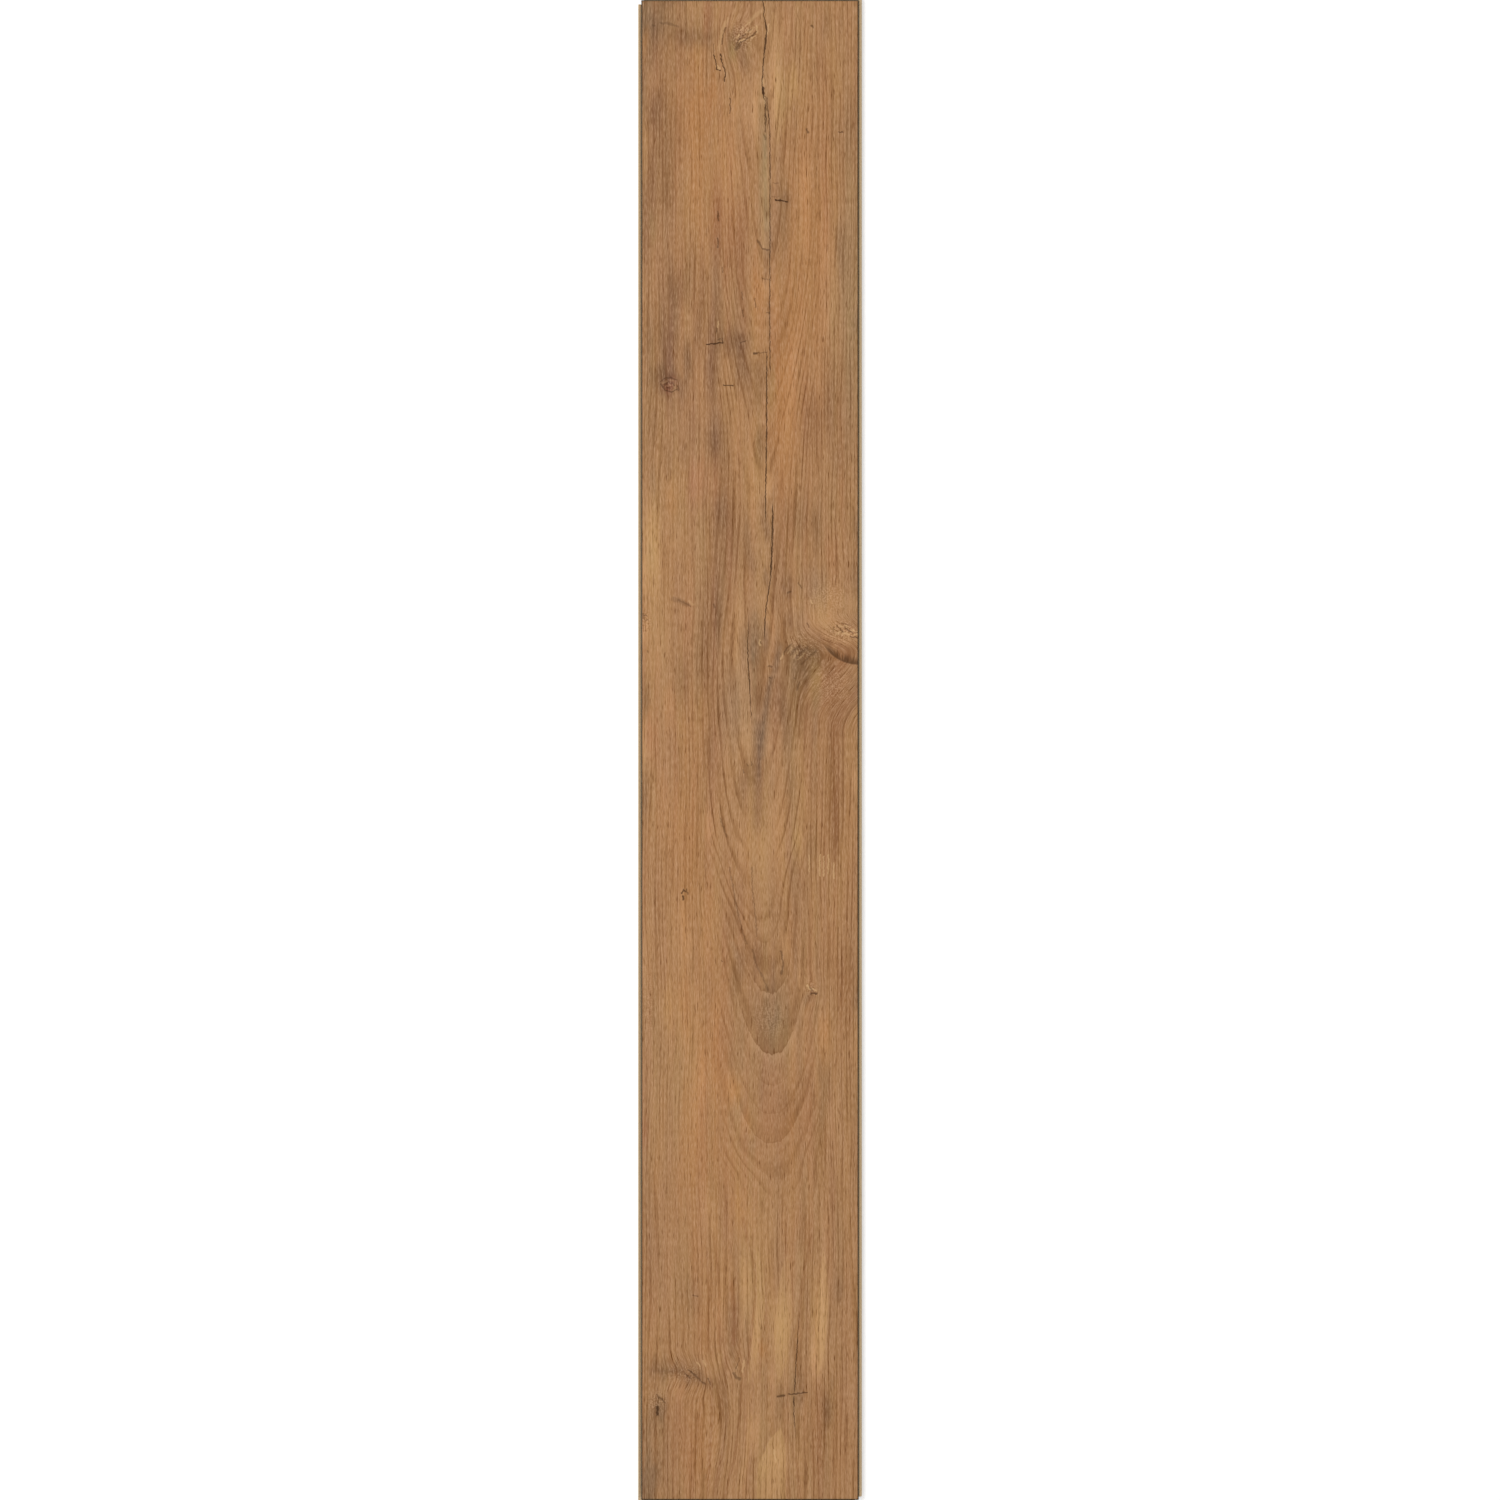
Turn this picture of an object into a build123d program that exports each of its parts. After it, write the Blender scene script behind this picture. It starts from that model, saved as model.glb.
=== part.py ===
"""Laminate floor plank: one pressed board, milled to a click joint on all four edges.

The face lies in XY with its length along Y, and the underside is at Z = 0.
The origin is under the middle of the face. Tongues point to +X and +Y, lips to -X and -Y.
"""

import os

from build123d import *

# Face and board, in millimetres
face_length = 1380.0
face_width = 200.0
thickness = 8.0

# Painted bevel round the face
bevel_width = 1.0
bevel_depth = 0.8

# Tongue, which has a rounded nose over a fuller belly
upper_lip = 2.8
tongue_thickness = 2.6
tongue_reach = 3.0
nose_radius = 1.0

# Lower lip, which ends in a hook that locks behind the neighbour's tongue
lip_reach = 3.0
hook_height = 0.9
hook_lean = 0.5
hook_crest = 1.0
hook_lead = 0.6

# Clearances between two locked boards
joint_clearance = 0.1
root_gap = 0.3
lip_end_gap = 0.3

# Levels above the underside
bevel_foot = thickness - bevel_depth
tongue_top = thickness - upper_lip
tongue_bottom = tongue_top - tongue_thickness
nose_level = tongue_top - nose_radius
groove_top = tongue_top + joint_clearance
groove_bottom = tongue_bottom - joint_clearance
hook_top = groove_bottom + hook_height
hook_shoulder = hook_top - hook_lead
recess_roof = hook_top + joint_clearance

# Distances from the joint plane, where two faces meet
belly_radius = tongue_thickness - nose_radius
groove_depth = tongue_reach + root_gap + joint_clearance
groove_nose_start = tongue_reach - nose_radius + root_gap
groove_belly_end = tongue_reach - belly_radius + root_gap
crest_outer = lip_reach - hook_lead
crest_inner = crest_outer - hook_crest
hook_foot = crest_inner - hook_lean
wall_foot = hook_foot - joint_clearance
wall_top = wall_foot + hook_lean
recess_depth = lip_reach + lip_end_gap


def board_section(plane, face_span):
    """The board cut across one pair of edges: lip and groove at the low end, tongue at the high end."""
    low = -face_span / 2
    high = face_span / 2
    with BuildSketch(plane) as section:
        with BuildLine():
            face = Line((low + bevel_width, thickness), (high - bevel_width, thickness))
            tongue_root = Polyline(
                face @ 1,
                (high, bevel_foot),
                (high, tongue_top),
                (high + tongue_reach - nose_radius, tongue_top),
            )
            nose = TangentArc(tongue_root @ 1, (high + tongue_reach, nose_level), tangent=(1, 0))
            belly = TangentArc(
                nose @ 1, (high + tongue_reach - belly_radius, tongue_bottom), tangent=(0, -1)
            )
            lock_recess = Polyline(
                belly @ 1,
                (high - wall_foot, tongue_bottom),
                (high - wall_top, recess_roof),
                (high - recess_depth, recess_roof),
                (high - recess_depth, 0),
            )
            lower_lip = Polyline(
                lock_recess @ 1,
                (low - lip_reach, 0),
                (low - lip_reach, hook_shoulder),
                (low - crest_outer, hook_top),
                (low - crest_inner, hook_top),
                (low - hook_foot, groove_bottom),
                (low + groove_belly_end, groove_bottom),
            )
            groove_belly = TangentArc(
                lower_lip @ 1, (low + groove_depth, nose_level), tangent=(1, 0)
            )
            groove_nose = TangentArc(
                groove_belly @ 1, (low + groove_nose_start, groove_top), tangent=(0, 1)
            )
            Polyline(groove_nose @ 1, (low, groove_top), (low, bevel_foot), face @ 0)
        make_face()
    return section.sketch


# Each pass of the cutters runs right past the corners, so the board is what both pairs of edges leave.
cutter_overrun = max(tongue_reach, lip_reach)

with BuildPart() as board:
    extrude(board_section(Plane.XZ, face_width), amount=face_length / 2 + cutter_overrun, both=True)
    extrude(
        board_section(Plane.YZ, face_length),
        amount=face_width / 2 + cutter_overrun,
        both=True,
        mode=Mode.INTERSECT,
    )

# Where a tongue's pass crosses a lip's, a crumb of the hook is cut free at the corner and falls away.
with BuildPart() as plank:
    add(board.solids().sort_by(SortBy.VOLUME)[-1])
plank.part.label = "plank"

os.makedirs("parts", exist_ok=True)
export_step(plank.part, "parts/plank.step")
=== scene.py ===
import math

import bmesh
import bpy
import mathutils
import numpy as np
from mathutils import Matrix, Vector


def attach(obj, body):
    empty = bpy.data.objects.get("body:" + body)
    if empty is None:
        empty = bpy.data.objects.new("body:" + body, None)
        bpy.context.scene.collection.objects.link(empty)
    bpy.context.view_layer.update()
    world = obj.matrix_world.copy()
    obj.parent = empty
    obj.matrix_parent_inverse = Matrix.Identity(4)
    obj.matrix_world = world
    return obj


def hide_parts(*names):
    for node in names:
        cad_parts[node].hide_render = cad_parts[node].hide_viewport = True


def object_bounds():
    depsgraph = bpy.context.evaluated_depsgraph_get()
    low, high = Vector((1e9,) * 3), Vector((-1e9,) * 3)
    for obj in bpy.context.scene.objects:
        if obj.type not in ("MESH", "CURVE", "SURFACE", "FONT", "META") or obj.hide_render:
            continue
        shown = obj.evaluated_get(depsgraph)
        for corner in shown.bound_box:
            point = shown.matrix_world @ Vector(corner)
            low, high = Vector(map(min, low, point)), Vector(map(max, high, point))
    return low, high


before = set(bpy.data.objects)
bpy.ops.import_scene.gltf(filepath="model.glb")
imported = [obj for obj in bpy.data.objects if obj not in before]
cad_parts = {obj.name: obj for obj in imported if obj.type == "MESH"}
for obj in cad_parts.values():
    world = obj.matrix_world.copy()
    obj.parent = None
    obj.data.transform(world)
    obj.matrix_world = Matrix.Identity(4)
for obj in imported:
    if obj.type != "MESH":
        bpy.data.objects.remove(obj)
cadLow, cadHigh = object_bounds()
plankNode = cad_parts["plank"]
mm = 0.001
print("frame loaded:", ", ".join(sorted(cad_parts)))


# Node helpers, which serve shader trees and geometry trees alike

def newNode(tree, kind, sockets=None, **settings):
    node = tree.nodes.new(kind)
    for name, value in settings.items():
        setattr(node, name, value)
    for key, value in (sockets or {}).items():
        if isinstance(value, bpy.types.NodeSocket):
            tree.links.new(value, node.inputs[key])
        else:
            node.inputs[key].default_value = value
    return node


def treeSocket(tree, name, kind, output=False):
    way = "OUTPUT" if output else "INPUT"
    return tree.interface.new_socket(name, in_out=way, socket_type="NodeSocket" + kind).identifier


def calc(tree, operation, *values):
    return newNode(tree, "ShaderNodeMath", dict(enumerate(values)), operation=operation).outputs[0]


def vectorCalc(tree, operation, *values):
    return newNode(tree, "ShaderNodeVectorMath", dict(enumerate(values)), operation=operation).outputs[0]


def measure(tree, operation, *vectors):
    node = newNode(tree, "ShaderNodeVectorMath", dict(enumerate(vectors)), operation=operation)
    return node.outputs["Value"]


def scaled(tree, vector, factor):
    return newNode(tree, "ShaderNodeVectorMath", {0: vector, "Scale": factor}, operation="SCALE").outputs[0]


def joined(tree, x, y, z=0.0):
    return newNode(tree, "ShaderNodeCombineXYZ", {0: x, 1: y, 2: z}).outputs[0]


def parts(tree, vector):
    return list(newNode(tree, "ShaderNodeSeparateXYZ", {0: vector}).outputs)


def total(tree, values):
    result = values[0]
    for value in values[1:]:
        result = calc(tree, "ADD", result, value)
    return result


def hypot(tree, x, y):
    square = calc(tree, "MULTIPLY_ADD", x, x, calc(tree, "MULTIPLY", y, y))
    return calc(tree, "SQRT", square)


def ramp(tree, value, start, end, low=0.0, high=1.0, shape="SMOOTHSTEP"):
    sockets = {0: value, 1: start, 2: end, 3: low, 4: high}
    return newNode(tree, "ShaderNodeMapRange", sockets, interpolation_type=shape).outputs[0]


def curveOf(tree, points, value, handles="AUTO"):
    # a curve through a few (input, output) points, in any units
    ins = [point[0] for point in points]
    outs = [point[1] for point in points]
    low = min(outs)
    span = max(outs) - low or 1.0
    start, end = min(ins), max(ins)
    share = ramp(tree, value, start, end, shape="LINEAR")
    node = newNode(tree, "ShaderNodeFloatCurve", {1: share})
    spots = sorted(((i - start) / (end - start), (o - low) / span) for i, o in points)
    line = node.mapping.curves[0]
    line.points[0].location, line.points[1].location = spots[0], spots[-1]
    for spot in spots[1:-1]:
        line.points.new(*spot)
    for point in line.points:
        point.handle_type = handles
    node.mapping.update()
    return calc(tree, "MULTIPLY_ADD", node.outputs[0], span, low)


clouds = {  # noise by name: (size across, size along, seed, detail, roughness), sizes in millimetres
    "wobble": (45, 150, 1, 1, 0.5),
    "fine": (0.75, 6, 7, 1, 0.6),
    "pores": (0.75, 14, 8, 1, 0.5),
    "streaks": (1.0, 45, 9, 2, 0.6),
    "pressedStreaks": (2.6, 40, 9, 1, 0.5),
    "mottle": (1.5, 1.7, 10, 2, 0.7),
    "crackJag": (30, 4, 11, 2, 0.7),
    "crackWidth": (30, 7, 14, 2, 0.5),
    "markX": (3, 3, 12, 1, 0.5),
    "markY": (3, 3, 13, 1, 0.5),
    "ringFray": (2.5, 14, 15, 2, 0.5),
    "flecks": (0.85, 8, 16, 1, 0.5),
    "hatch": (1.3, 16, 21, 1, 0.5),
}
seedShift = (37.7, 11.3)  # each seed is another place in the same noise
noiseGain = 4.0


def noise(tree, across, along, cloud):
    # noise stretched along the plank, about -1 to 1
    acrossSize, alongSize, seed, detail, roughness = cloud
    x = calc(tree, "MULTIPLY_ADD", across, 1 / acrossSize, seed * seedShift[0])
    y = calc(tree, "MULTIPLY_ADD", along, 1 / alongSize, seed * seedShift[1])
    sockets = {"Vector": joined(tree, x, y), "Scale": 1.0, "Detail": detail, "Roughness": roughness}
    texture = newNode(tree, "ShaderNodeTexNoise", sockets, noise_dimensions="2D")
    return calc(tree, "MULTIPLY_ADD", texture.outputs[0], noiseGain, -noiseGain / 2)


def paint(red, green, blue):
    # a colour as picked on screen, as the shader's linear light
    def linear(level):
        share = level / 255
        return share / 12.92 if share <= 0.04045 else ((share + 0.055) / 1.055) ** 2.4
    return (linear(red), linear(green), linear(blue), 1.0)


# The figure of the oak: places are millimetres from the middle of the face, y towards the far end

figure = {
    "centre": [  # (y, x) of the line that the rings lie round
        (690, 12), (570, 14), (350, 15), (45, 6.5), (-94, 5), (-156, 10.8), (-280, 19.2), (-362, 19.2),
        (-396, 26), (-598, 32), (-690, 26),
    ],
    "depth": [  # (y, radius of the ring on that line)
        (690, 33), (600, 36), (464, 41), (269, 62), (150, 64.5), (46, 67), (-69, 72.5), (-110, 76.5),
        (-156, 81), (-222, 87), (-280, 93), (-362, 104), (-396, 109), (-460, 115), (-598, 121), (-690, 115),
    ],
    "bluntness": [  # (y, how blunt the rings are where they cross it)
        (690, 30), (350, 35), (150, 55), (60, 70), (-70, 70), (-125, 60), (-220, 80), (-320, 85), (-690, 75),
    ],
    # knots that draw the grain aside: (x, y, half width, reach to the far end, to the near end, pull to +X)
    "pulls": [
        (104, 88, 80, 40, 76, 40),
        (-14, 655, 26, 42, 42, -9),
        (57, -222, 16, 26, 26, 4),
        (-11, -575, 14, 30, 30, 4),
        (-57, -575, 30, 26, 26, 8),
        (-24, -615, 32, 80, 90, 9),
    ],
    "eyes": [  # (x, y, half width, half length, rings added)
        (-75, 336, 9, 11, 11),
        (-61, -131, 6, 9, 6),
        (57, -221, 7, 8, 7),
        (-11, -575, 7, 8, 6),
    ],
    "wobble": 1.6,
}

# Screen levels of red, green and blue: the plain wood, and what each tint adds to it
plainWood = (168, 124, 84)
tints = {
    "orange": (6, -2, -7),
    "red": (-9, -14, -11),
    "yellow": (16, 16, 8),
    "olive": (-8, 2, 3),
    "mauve": (-16, -13, -7),
    "slate": (-31, -20, -10),
    "umber": (-20, -21, -18),
    "dark": (-19, -15, -10),
    "light": (13, 11, 9),
    "warm": (9, 4, 0),
    "pink": (3, -3, -1),
    "blue": (-8, -3, 4),
    "green": (-5, 2, -1),
}

zones = [  # (tint, [(x, y, half width, half length, strength, turn where it is slanted), ...])
    # far end
    ("slate", [(-92, 679, 22, 26, 0.7), (-69, 664, 40, 16, 0.3), (28, 485, 10, 52, 0.5)]),
    ("dark", [
        (-92, 645, 12, 30, 1.0), (-90, 590, 11, 22, 1.0), (-76, 565, 13, 80, 0.9),
        (-78, 500, 10, 32, 0.3), (-98, 490, 6, 50, 0.9), (-98, 620, 5, 22, 0.9),
        (-55, 653, 26, 11, 1.0, 8), (-72, 690, 14, 9, 0.9), (-8, 650, 14, 16, 0.9), (-6, 632, 8, 11, 0.8),
        (70, 665, 6, 18, 0.5), (98, 610, 5, 90, 0.4), (99, 500, 5, 60, 0.4), (33, 504, 7, 9, 0.6),
        (84, 460, 6, 34, 0.6), (-31, 432, 7, 44, 0.6), (-66, 425, 10, 24, 0.7), (-18, 658, 5, 10, 0.8),
        (-68, 632, 14, 16, 0.5), (-91, 520, 6, 66, 0.6), (25, 548, 5, 34, 0.5), (17, 470, 4, 14, 0.6),
        (15, 436, 6, 10, 0.6), (-43, 430, 4, 34, 0.7),
    ]),
    ("warm", [
        (-98, 655, 6, 13, 1.2), (-18, 540, 12, 70, 1.0), (68, 600, 10, 80, 0.6), (68, 490, 8, 56, 0.5),
        (-98, 632, 4, 18, 1.0),
    ]),
    ("orange", [(-52, 589, 30, 84, 0.4), (-49, 506, 30, 110, 0.3), (53, 515, 26, 90, 0.35)]),
    ("mauve", [
        (-32, 600, 7, 46, 0.2), (87, 570, 16, 40, 0.4), (-55, 440, 10, 44, 0.5),
        (-78, 414, 18, 100, 0.45),
    ]),
    ("light", [
        (-8, 590, 9, 44, 0.7), (4, 585, 5, 34, 0.9), (11, 612, 4, 24, 0.9), (21, 620, 6, 50, 0.7),
        (31, 568, 7, 28, 0.2), (30, 665, 18, 28, 0.4), (-22, 670, 8, 18, 0.4), (48, 525, 9, 24, 0.6),
        (48, 480, 7, 34, 0.5), (72, 435, 7, 50, 0.6), (15, 428, 7, 14, 0.9), (5, 602, 4, 20, 0.6),
    ]),
    ("yellow", [(30, 600, 9, 34, 0.7), (40, 615, 6, 18, 0.8)]),
    ("red", [(-38, 675, 5, 18, 0.7), (-31, 492, 8, 46, 0.8), (-12, 460, 12, 50, 0.9)]),
    ("olive", [(12, 534, 7, 96, 0.7), (92, 414, 14, 170, 0.6)]),
    ("blue", [(14, 480, 6, 50, 0.7)]),
    ("umber", [(62, 632, 7, 13, 0.3)]),
    # down to the long crack's end
    ("dark", [
        (-68, 395, 6, 28, 0.6), (-80, 380, 12, 44, 0.4), (-78, 339, 16, 14, 1.3), (-57, 360, 6, 24, 1.0),
        (-92, 370, 8, 44, 0.6), (-35, 350, 7, 46, 0.8), (-35, 385, 12, 22, 0.2), (-15, 375, 18, 14, 1.0),
        (-8, 350, 9, 28, 1.0), (8, 345, 11, 22, 0.9), (-33, 290, 8, 26, 1.1), (-90, 300, 12, 44, 0.6),
        (27, 378, 6, 44, 0.5, -6), (58, 302, 10, 36, 0.55), (75, 320, 10, 44, 0.45),
        (-26, 220, 9, 24, 0.6), (-12, 192, 11, 44, 0.3), (2, 171, 6, 16, 0.5), (45, 215, 14, 24, 0.6),
        (31, 188, 7, 44, 0.5), (62, 205, 6, 28, 0.7), (98, 205, 5, 18, 1.0), (16, 205, 6, 12, 0.5),
        (36, 150, 6, 14, 0.7), (-46, 388, 5, 36, 0.8), (-62, 332, 7, 14, 0.7), (-57, 352, 4, 20, 0.5),
        (-76, 268, 5, 22, 0.6), (-62, 272, 5, 18, 0.5), (9, 282, 6, 18, 0.9), (5, 318, 7, 16, 0.6),
        (15, 158, 4, 12, 1.0), (98, 392, 5, 14, 0.8), (98, 160, 5, 28, 1.0), (82, 266, 5, 20, 0.5),
    ]),
    ("mauve", [
        (-75, 350, 11, 40, 0.7), (-31, 382, 10, 42, 0.5), (-10, 377, 10, 42, 0.6),
        (-28, 275, 12, 50, 0.5), (-60, 300, 22, 34, 0.35), (83, 294, 24, 80, 0.25),
        (-26, 202, 14, 84, 0.75), (32, 138, 12, 36, 0.5), (13, 222, 5, 16, 0.8), (15, 203, 5, 12, 0.6),
        (-35, 133, 14, 40, 0.5),
    ]),
    ("orange", [(6, 423, 9, 42, 0.6), (41, 386, 34, 150, 0.5), (28, 294, 16, 100, 0.6)]),
    ("light", [
        (39, 335, 7, 86, 0.7, -5), (70, 395, 7, 20, 0.6), (16, 246, 5, 26, 0.8, 10),
        (-70, 190, 7, 24, 0.5), (-94, 180, 7, 20, 0.6), (23, 170, 3, 16, 0.8), (-98, 155, 4, 24, 0.8),
    ]),
    ("green", [(20, 330, 5, 34, 0.8), (-75, 230, 16, 44, 0.3)]),
    ("yellow", [(6, 248, 12, 40, 0.3), (-91, 189, 9, 56, 0.9)]),
    ("pink", [(-48, 245, 10, 28, 1.0), (75, 185, 9, 24, 0.5)]),
    ("slate", [(21, 179, 5, 50, 0.2)]),
    ("blue", [(60, 150, 16, 22, 0.7)]),
    ("warm", [(-72, 232, 6, 18, 0.8), (-30, 250, 8, 24, 0.8)]),
    # round the edge knot
    ("yellow", [(-87, 120, 14, 70, 0.35), (75, 132, 36, 24, 0.4)]),
    ("light", [
        (-98, 106, 5, 14, 1.2), (-98, -5, 5, 14, 1.0), (-80, 95, 9, 24, 0.3), (-8, 125, 6, 18, 0.6),
        (-12, 90, 6, 28, 0.35), (62, 116, 18, 13, 0.6), (90, 102, 13, 7, 0.8), (18, 120, 5, 18, 0.7),
        (15, 4, 9, 20, 0.7), (-2, 15, 7, 16, 0.45), (-98, 16, 4, 14, 1.0),
    ]),
    ("dark", [
        (-96, 50, 6, 18, 0.8), (-98, -42, 5, 24, 0.8), (-62, 60, 9, 34, 0.6), (-45, 80, 11, 34, 0.5),
        (-66, -15, 6, 34, 0.45), (-38, 0, 6, 34, 0.45), (-28, 115, 5, 28, 0.6), (17, 62, 8, 46, 0.6, 10),
        (28, 45, 7, 24, 0.9), (45, 52, 9, 44, 1.1), (60, 85, 17, 15, 0.9), (98, 58, 8, 18, 0.8),
        (88, 40, 9, 24, 0.4), (-7, 92, 4, 22, 0.8), (24, 90, 5, 24, 0.9), (34, 22, 5, 36, 1.0),
        (60, 22, 5, 28, 0.6), (36, 116, 5, 14, 0.8), (98, 122, 5, 12, 0.6), (74, 74, 9, 10, 0.5),
        (76, 40, 12, 30, 0.4),
    ]),
    ("pink", [(-92, 10, 6, 28, 0.9)]),
    ("warm", [(-75, 40, 6, 24, 0.8), (-75, -60, 12, 56, 0.6)]),
    ("mauve", [(-34, 80, 14, 80, 0.4), (53, 66, 6, 14, 0.6)]),
    ("blue", [(-15, 40, 12, 44, 0.8), (15, 100, 5, 18, 1.0), (46, 118, 9, 16, 0.6)]),
    ("slate", [
        (5, 101, 9, 28, 0.5), (11, 28, 9, 76, 0.35, 8), (43, 83, 18, 30, 0.5, -20), (7, 8, 6, 22, 0.6),
    ]),
    ("umber", [(89, 87, 28, 10, 0.5)]),
    ("red", [(76, 46, 22, 44, 0.4)]),
    ("olive", [(-2, 55, 7, 70, 0.4)]),
    ("green", [(60, 60, 7, 28, 0.8)]),
    # middle of the face
    ("dark", [
        (6, -22, 9, 22, 1.2), (8, -55, 9, 28, 1.0), (38, -30, 7, 24, 0.5), (58, -85, 5, 24, 0.5),
        (60, -30, 7, 34, 0.4), (98, -115, 5, 24, 0.2), (-6, -34, 5, 22, 0.7),
    ]),
    ("light", [
        (25, -60, 6, 66, 0.6), (-8, -95, 6, 28, 0.5), (98, -30, 5, 18, 1.0), (94, -60, 5, 13, 0.5),
        (-40, -70, 6, 18, 0.7), (-8, 0, 4, 16, 0.6), (19, -10, 4, 16, 0.8), (-37, -75, 5, 26, 0.7),
    ]),
    ("yellow", [(9, -74, 16, 60, 0.45), (44, -85, 6, 24, 0.7), (46, -46, 9, 56, 0.3)]),
    ("umber", [(77, -37, 8, 74, 0.7)]),
    ("orange", [(-52, -46, 20, 110, 0.3), (-49, -138, 26, 100, 0.2)]),
    ("mauve", [(-32, -20, 8, 110, 0.3, -6), (-18, -165, 9, 60, 0.45, -12), (46, -129, 12, 60, 0.35)]),
    # cathedral
    ("light", [
        (-62, -165, 9, 34, 0.5), (-55, -180, 6, 15, 0.7), (-95, -180, 6, 34, 0.4),
        (-90, -300, 6, 56, 0.5), (-45, -300, 5, 28, 0.6), (10, -215, 7, 10, 0.7), (32, -180, 5, 18, 0.9),
        (40, -272, 5, 24, 1.1), (2, -265, 6, 18, 0.8), (62, -310, 5, 24, 0.7, 8), (98, -272, 6, 28, 0.6),
        (76, -340, 5, 34, 0.5), (46, -210, 3, 12, 0.6), (-24, -185, 4, 16, 0.5), (-31, -252, 5, 22, 0.5),
        (-18, -305, 4, 16, 0.4),
    ]),
    ("yellow", [(-76, -235, 7, 28, 0.6), (-55, -304, 20, 80, 0.35), (25, -265, 13, 28, 0.3)]),
    ("warm", [
        (-60, -240, 12, 44, 0.9), (-38, -165, 9, 44, 0.7), (-14, -312, 9, 20, 1.4),
        (-30, -300, 9, 34, 0.5), (-12, -390, 12, 44, 0.7), (68, -265, 9, 30, 1.1), (-5, -345, 8, 16, 0.7),
    ]),
    ("red", [(-97, -350, 5, 18, 0.8), (-22, -270, 11, 44, 0.35), (30, -340, 28, 54, 0.35)]),
    ("orange", [(-38, -267, 14, 90, 0.5, -8), (-46, -377, 26, 70, 0.5)]),
    ("dark", [
        (-10, -200, 7, 30, 0.9, -10), (8, -190, 8, 20, 0.7), (54, -228, 6, 8, 1.0),
        (70, -305, 5, 30, 0.4, 8), (49, -300, 8, 34, 0.35, 14), (10, -310, 6, 24, 0.5),
        (35, -325, 12, 16, 0.35), (2, -362, 7, 10, 0.4), (25, -390, 12, 17, 0.35), (24, -250, 8, 10, 0.5),
        (98, -230, 4, 12, 1.0),
    ]),
    ("slate", [(20, -248, 28, 48, 0.42)]),
    ("umber", [(88, -220, 9, 44, 0.45), (64, -340, 9, 60, 0.3)]),
    ("mauve", [(-92, -460, 10, 70, 0.5)]),
    # near end
    ("light", [
        (-36, -435, 7, 36, 0.7, 6), (5, -545, 5, 34, 1.0), (66, -500, 6, 46, 1.2), (64, -555, 7, 34, 0.9),
        (70, -440, 7, 34, 0.55), (46, -478, 4, 16, 0.6, 12), (-30, -525, 6, 30, 0.6),
        (-65, -590, 7, 10, 0.7), (-44, -563, 5, 15, 0.8, 16), (-34, -605, 5, 18, 0.5),
        (20, -580, 5, 18, 0.7), (40, -570, 4, 18, 0.6), (58, -565, 5, 24, 0.8), (60, -620, 5, 28, 0.4),
        (4, -625, 6, 24, 0.9, -6), (28, -655, 9, 20, 0.8), (42, -655, 5, 18, 0.6),
    ]),
    ("warm", [(-50, -460, 9, 34, 0.5), (-8, -430, 12, 30, 0.9), (-98, -648, 5, 18, 1.2)]),
    ("yellow", [
        (-5, -490, 6, 40, 0.7), (9, -488, 14, 80, 0.4), (31, -525, 9, 40, 0.7),
        (26, -543, 10, 50, 0.5, 6), (63, -524, 9, 50, 0.7), (-30, -562, 7, 12, 0.4),
        (13, -662, 6, 16, 0.4), (18, -644, 15, 44, 0.35),
    ]),
    ("orange", [(12, -555, 4, 12, 0.7), (-41, -524, 18, 70, 0.35), (-48, -626, 24, 64, 0.4)]),
    ("dark", [
        (50, -495, 5, 32, 0.3, 12), (82, -495, 6, 18, 0.6), (-15, -545, 6, 24, 0.5),
        (-55, -502, 13, 20, 0.35), (-85, -570, 13, 13, 1.1), (-68, -572, 8, 9, 0.7),
        (-46, -580, 16, 8, 0.9, -18), (-81, -606, 5, 12, 1.0), (30, -592, 7, 10, 0.6),
        (47, -590, 5, 15, 0.7), (27, -610, 6, 17, 0.4), (72, -608, 6, 17, 1.0),
    ]),
    ("red", [(50, -440, 9, 24, 0.4)]),
    ("mauve", [(-15, -518, 9, 16, 0.4), (-75, -640, 22, 54, 0.35)]),
    ("slate", [
        (-55, -570, 20, 16, 0.4), (-87, -607, 8, 24, 0.5), (-96, -665, 10, 50, 0.75),
        (42, -570, 6, 46, 0.4),
    ]),
    ("umber", [(-27, -600, 6, 28, 0.6), (64, -626, 11, 52, 0.55)]),
    # small patches, far end to near end
    ("dark", [
        (84, 668, 3.5, 14, 0.4), (-55, 614, 5, 12, 0.35), (-9, 600, 4, 30, 0.3), (-10, 568, 4, 22, 0.5),
        (-37, 342, 4, 22, 0.5), (20, 228, 3, 10, 0.6), (67, -330, 4, 22, 0.4), (20, -530, 3.5, 22, 0.3),
        (76, -582, 3, 14, 0.5), (18, -632, 5, 14, 0.3), (-84, -665, 4, 30, 0.6),
    ]),
    ("yellow", [
        (0, 650, 5, 14, 0.45), (-88, 365, 4, 40, 0.3), (-60, -165, 5, 60, 0.35), (-25, -490, 7, 45, 0.6),
        (-16, -490, 3.5, 36, 0.4),
    ]),
    ("green", [(-16, 643, 6, 12, 0.8), (-90, 480, 4, 20, 0.7)]),
    ("light", [
        (21, 612, 3, 14, 0.4), (24, 570, 3.5, 26, 0.4), (-10, 372, 5, 24, 0.3), (-15, 98, 3.5, 28, 0.45),
        (47, -215, 3, 16, 0.7), (60, -322, 2.5, 12, 0.6),
    ]),
    ("orange", [(-35, 600, 5, 32, 0.6), (43, -558, 4, 36, 0.8)]),
    ("slate", [
        (31, 598, 4.5, 28, 0.28), (18, 390, 3, 28, 0.3), (-90, 245, 4, 20, 0.3), (-2, 190, 5, 26, 0.32),
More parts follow.
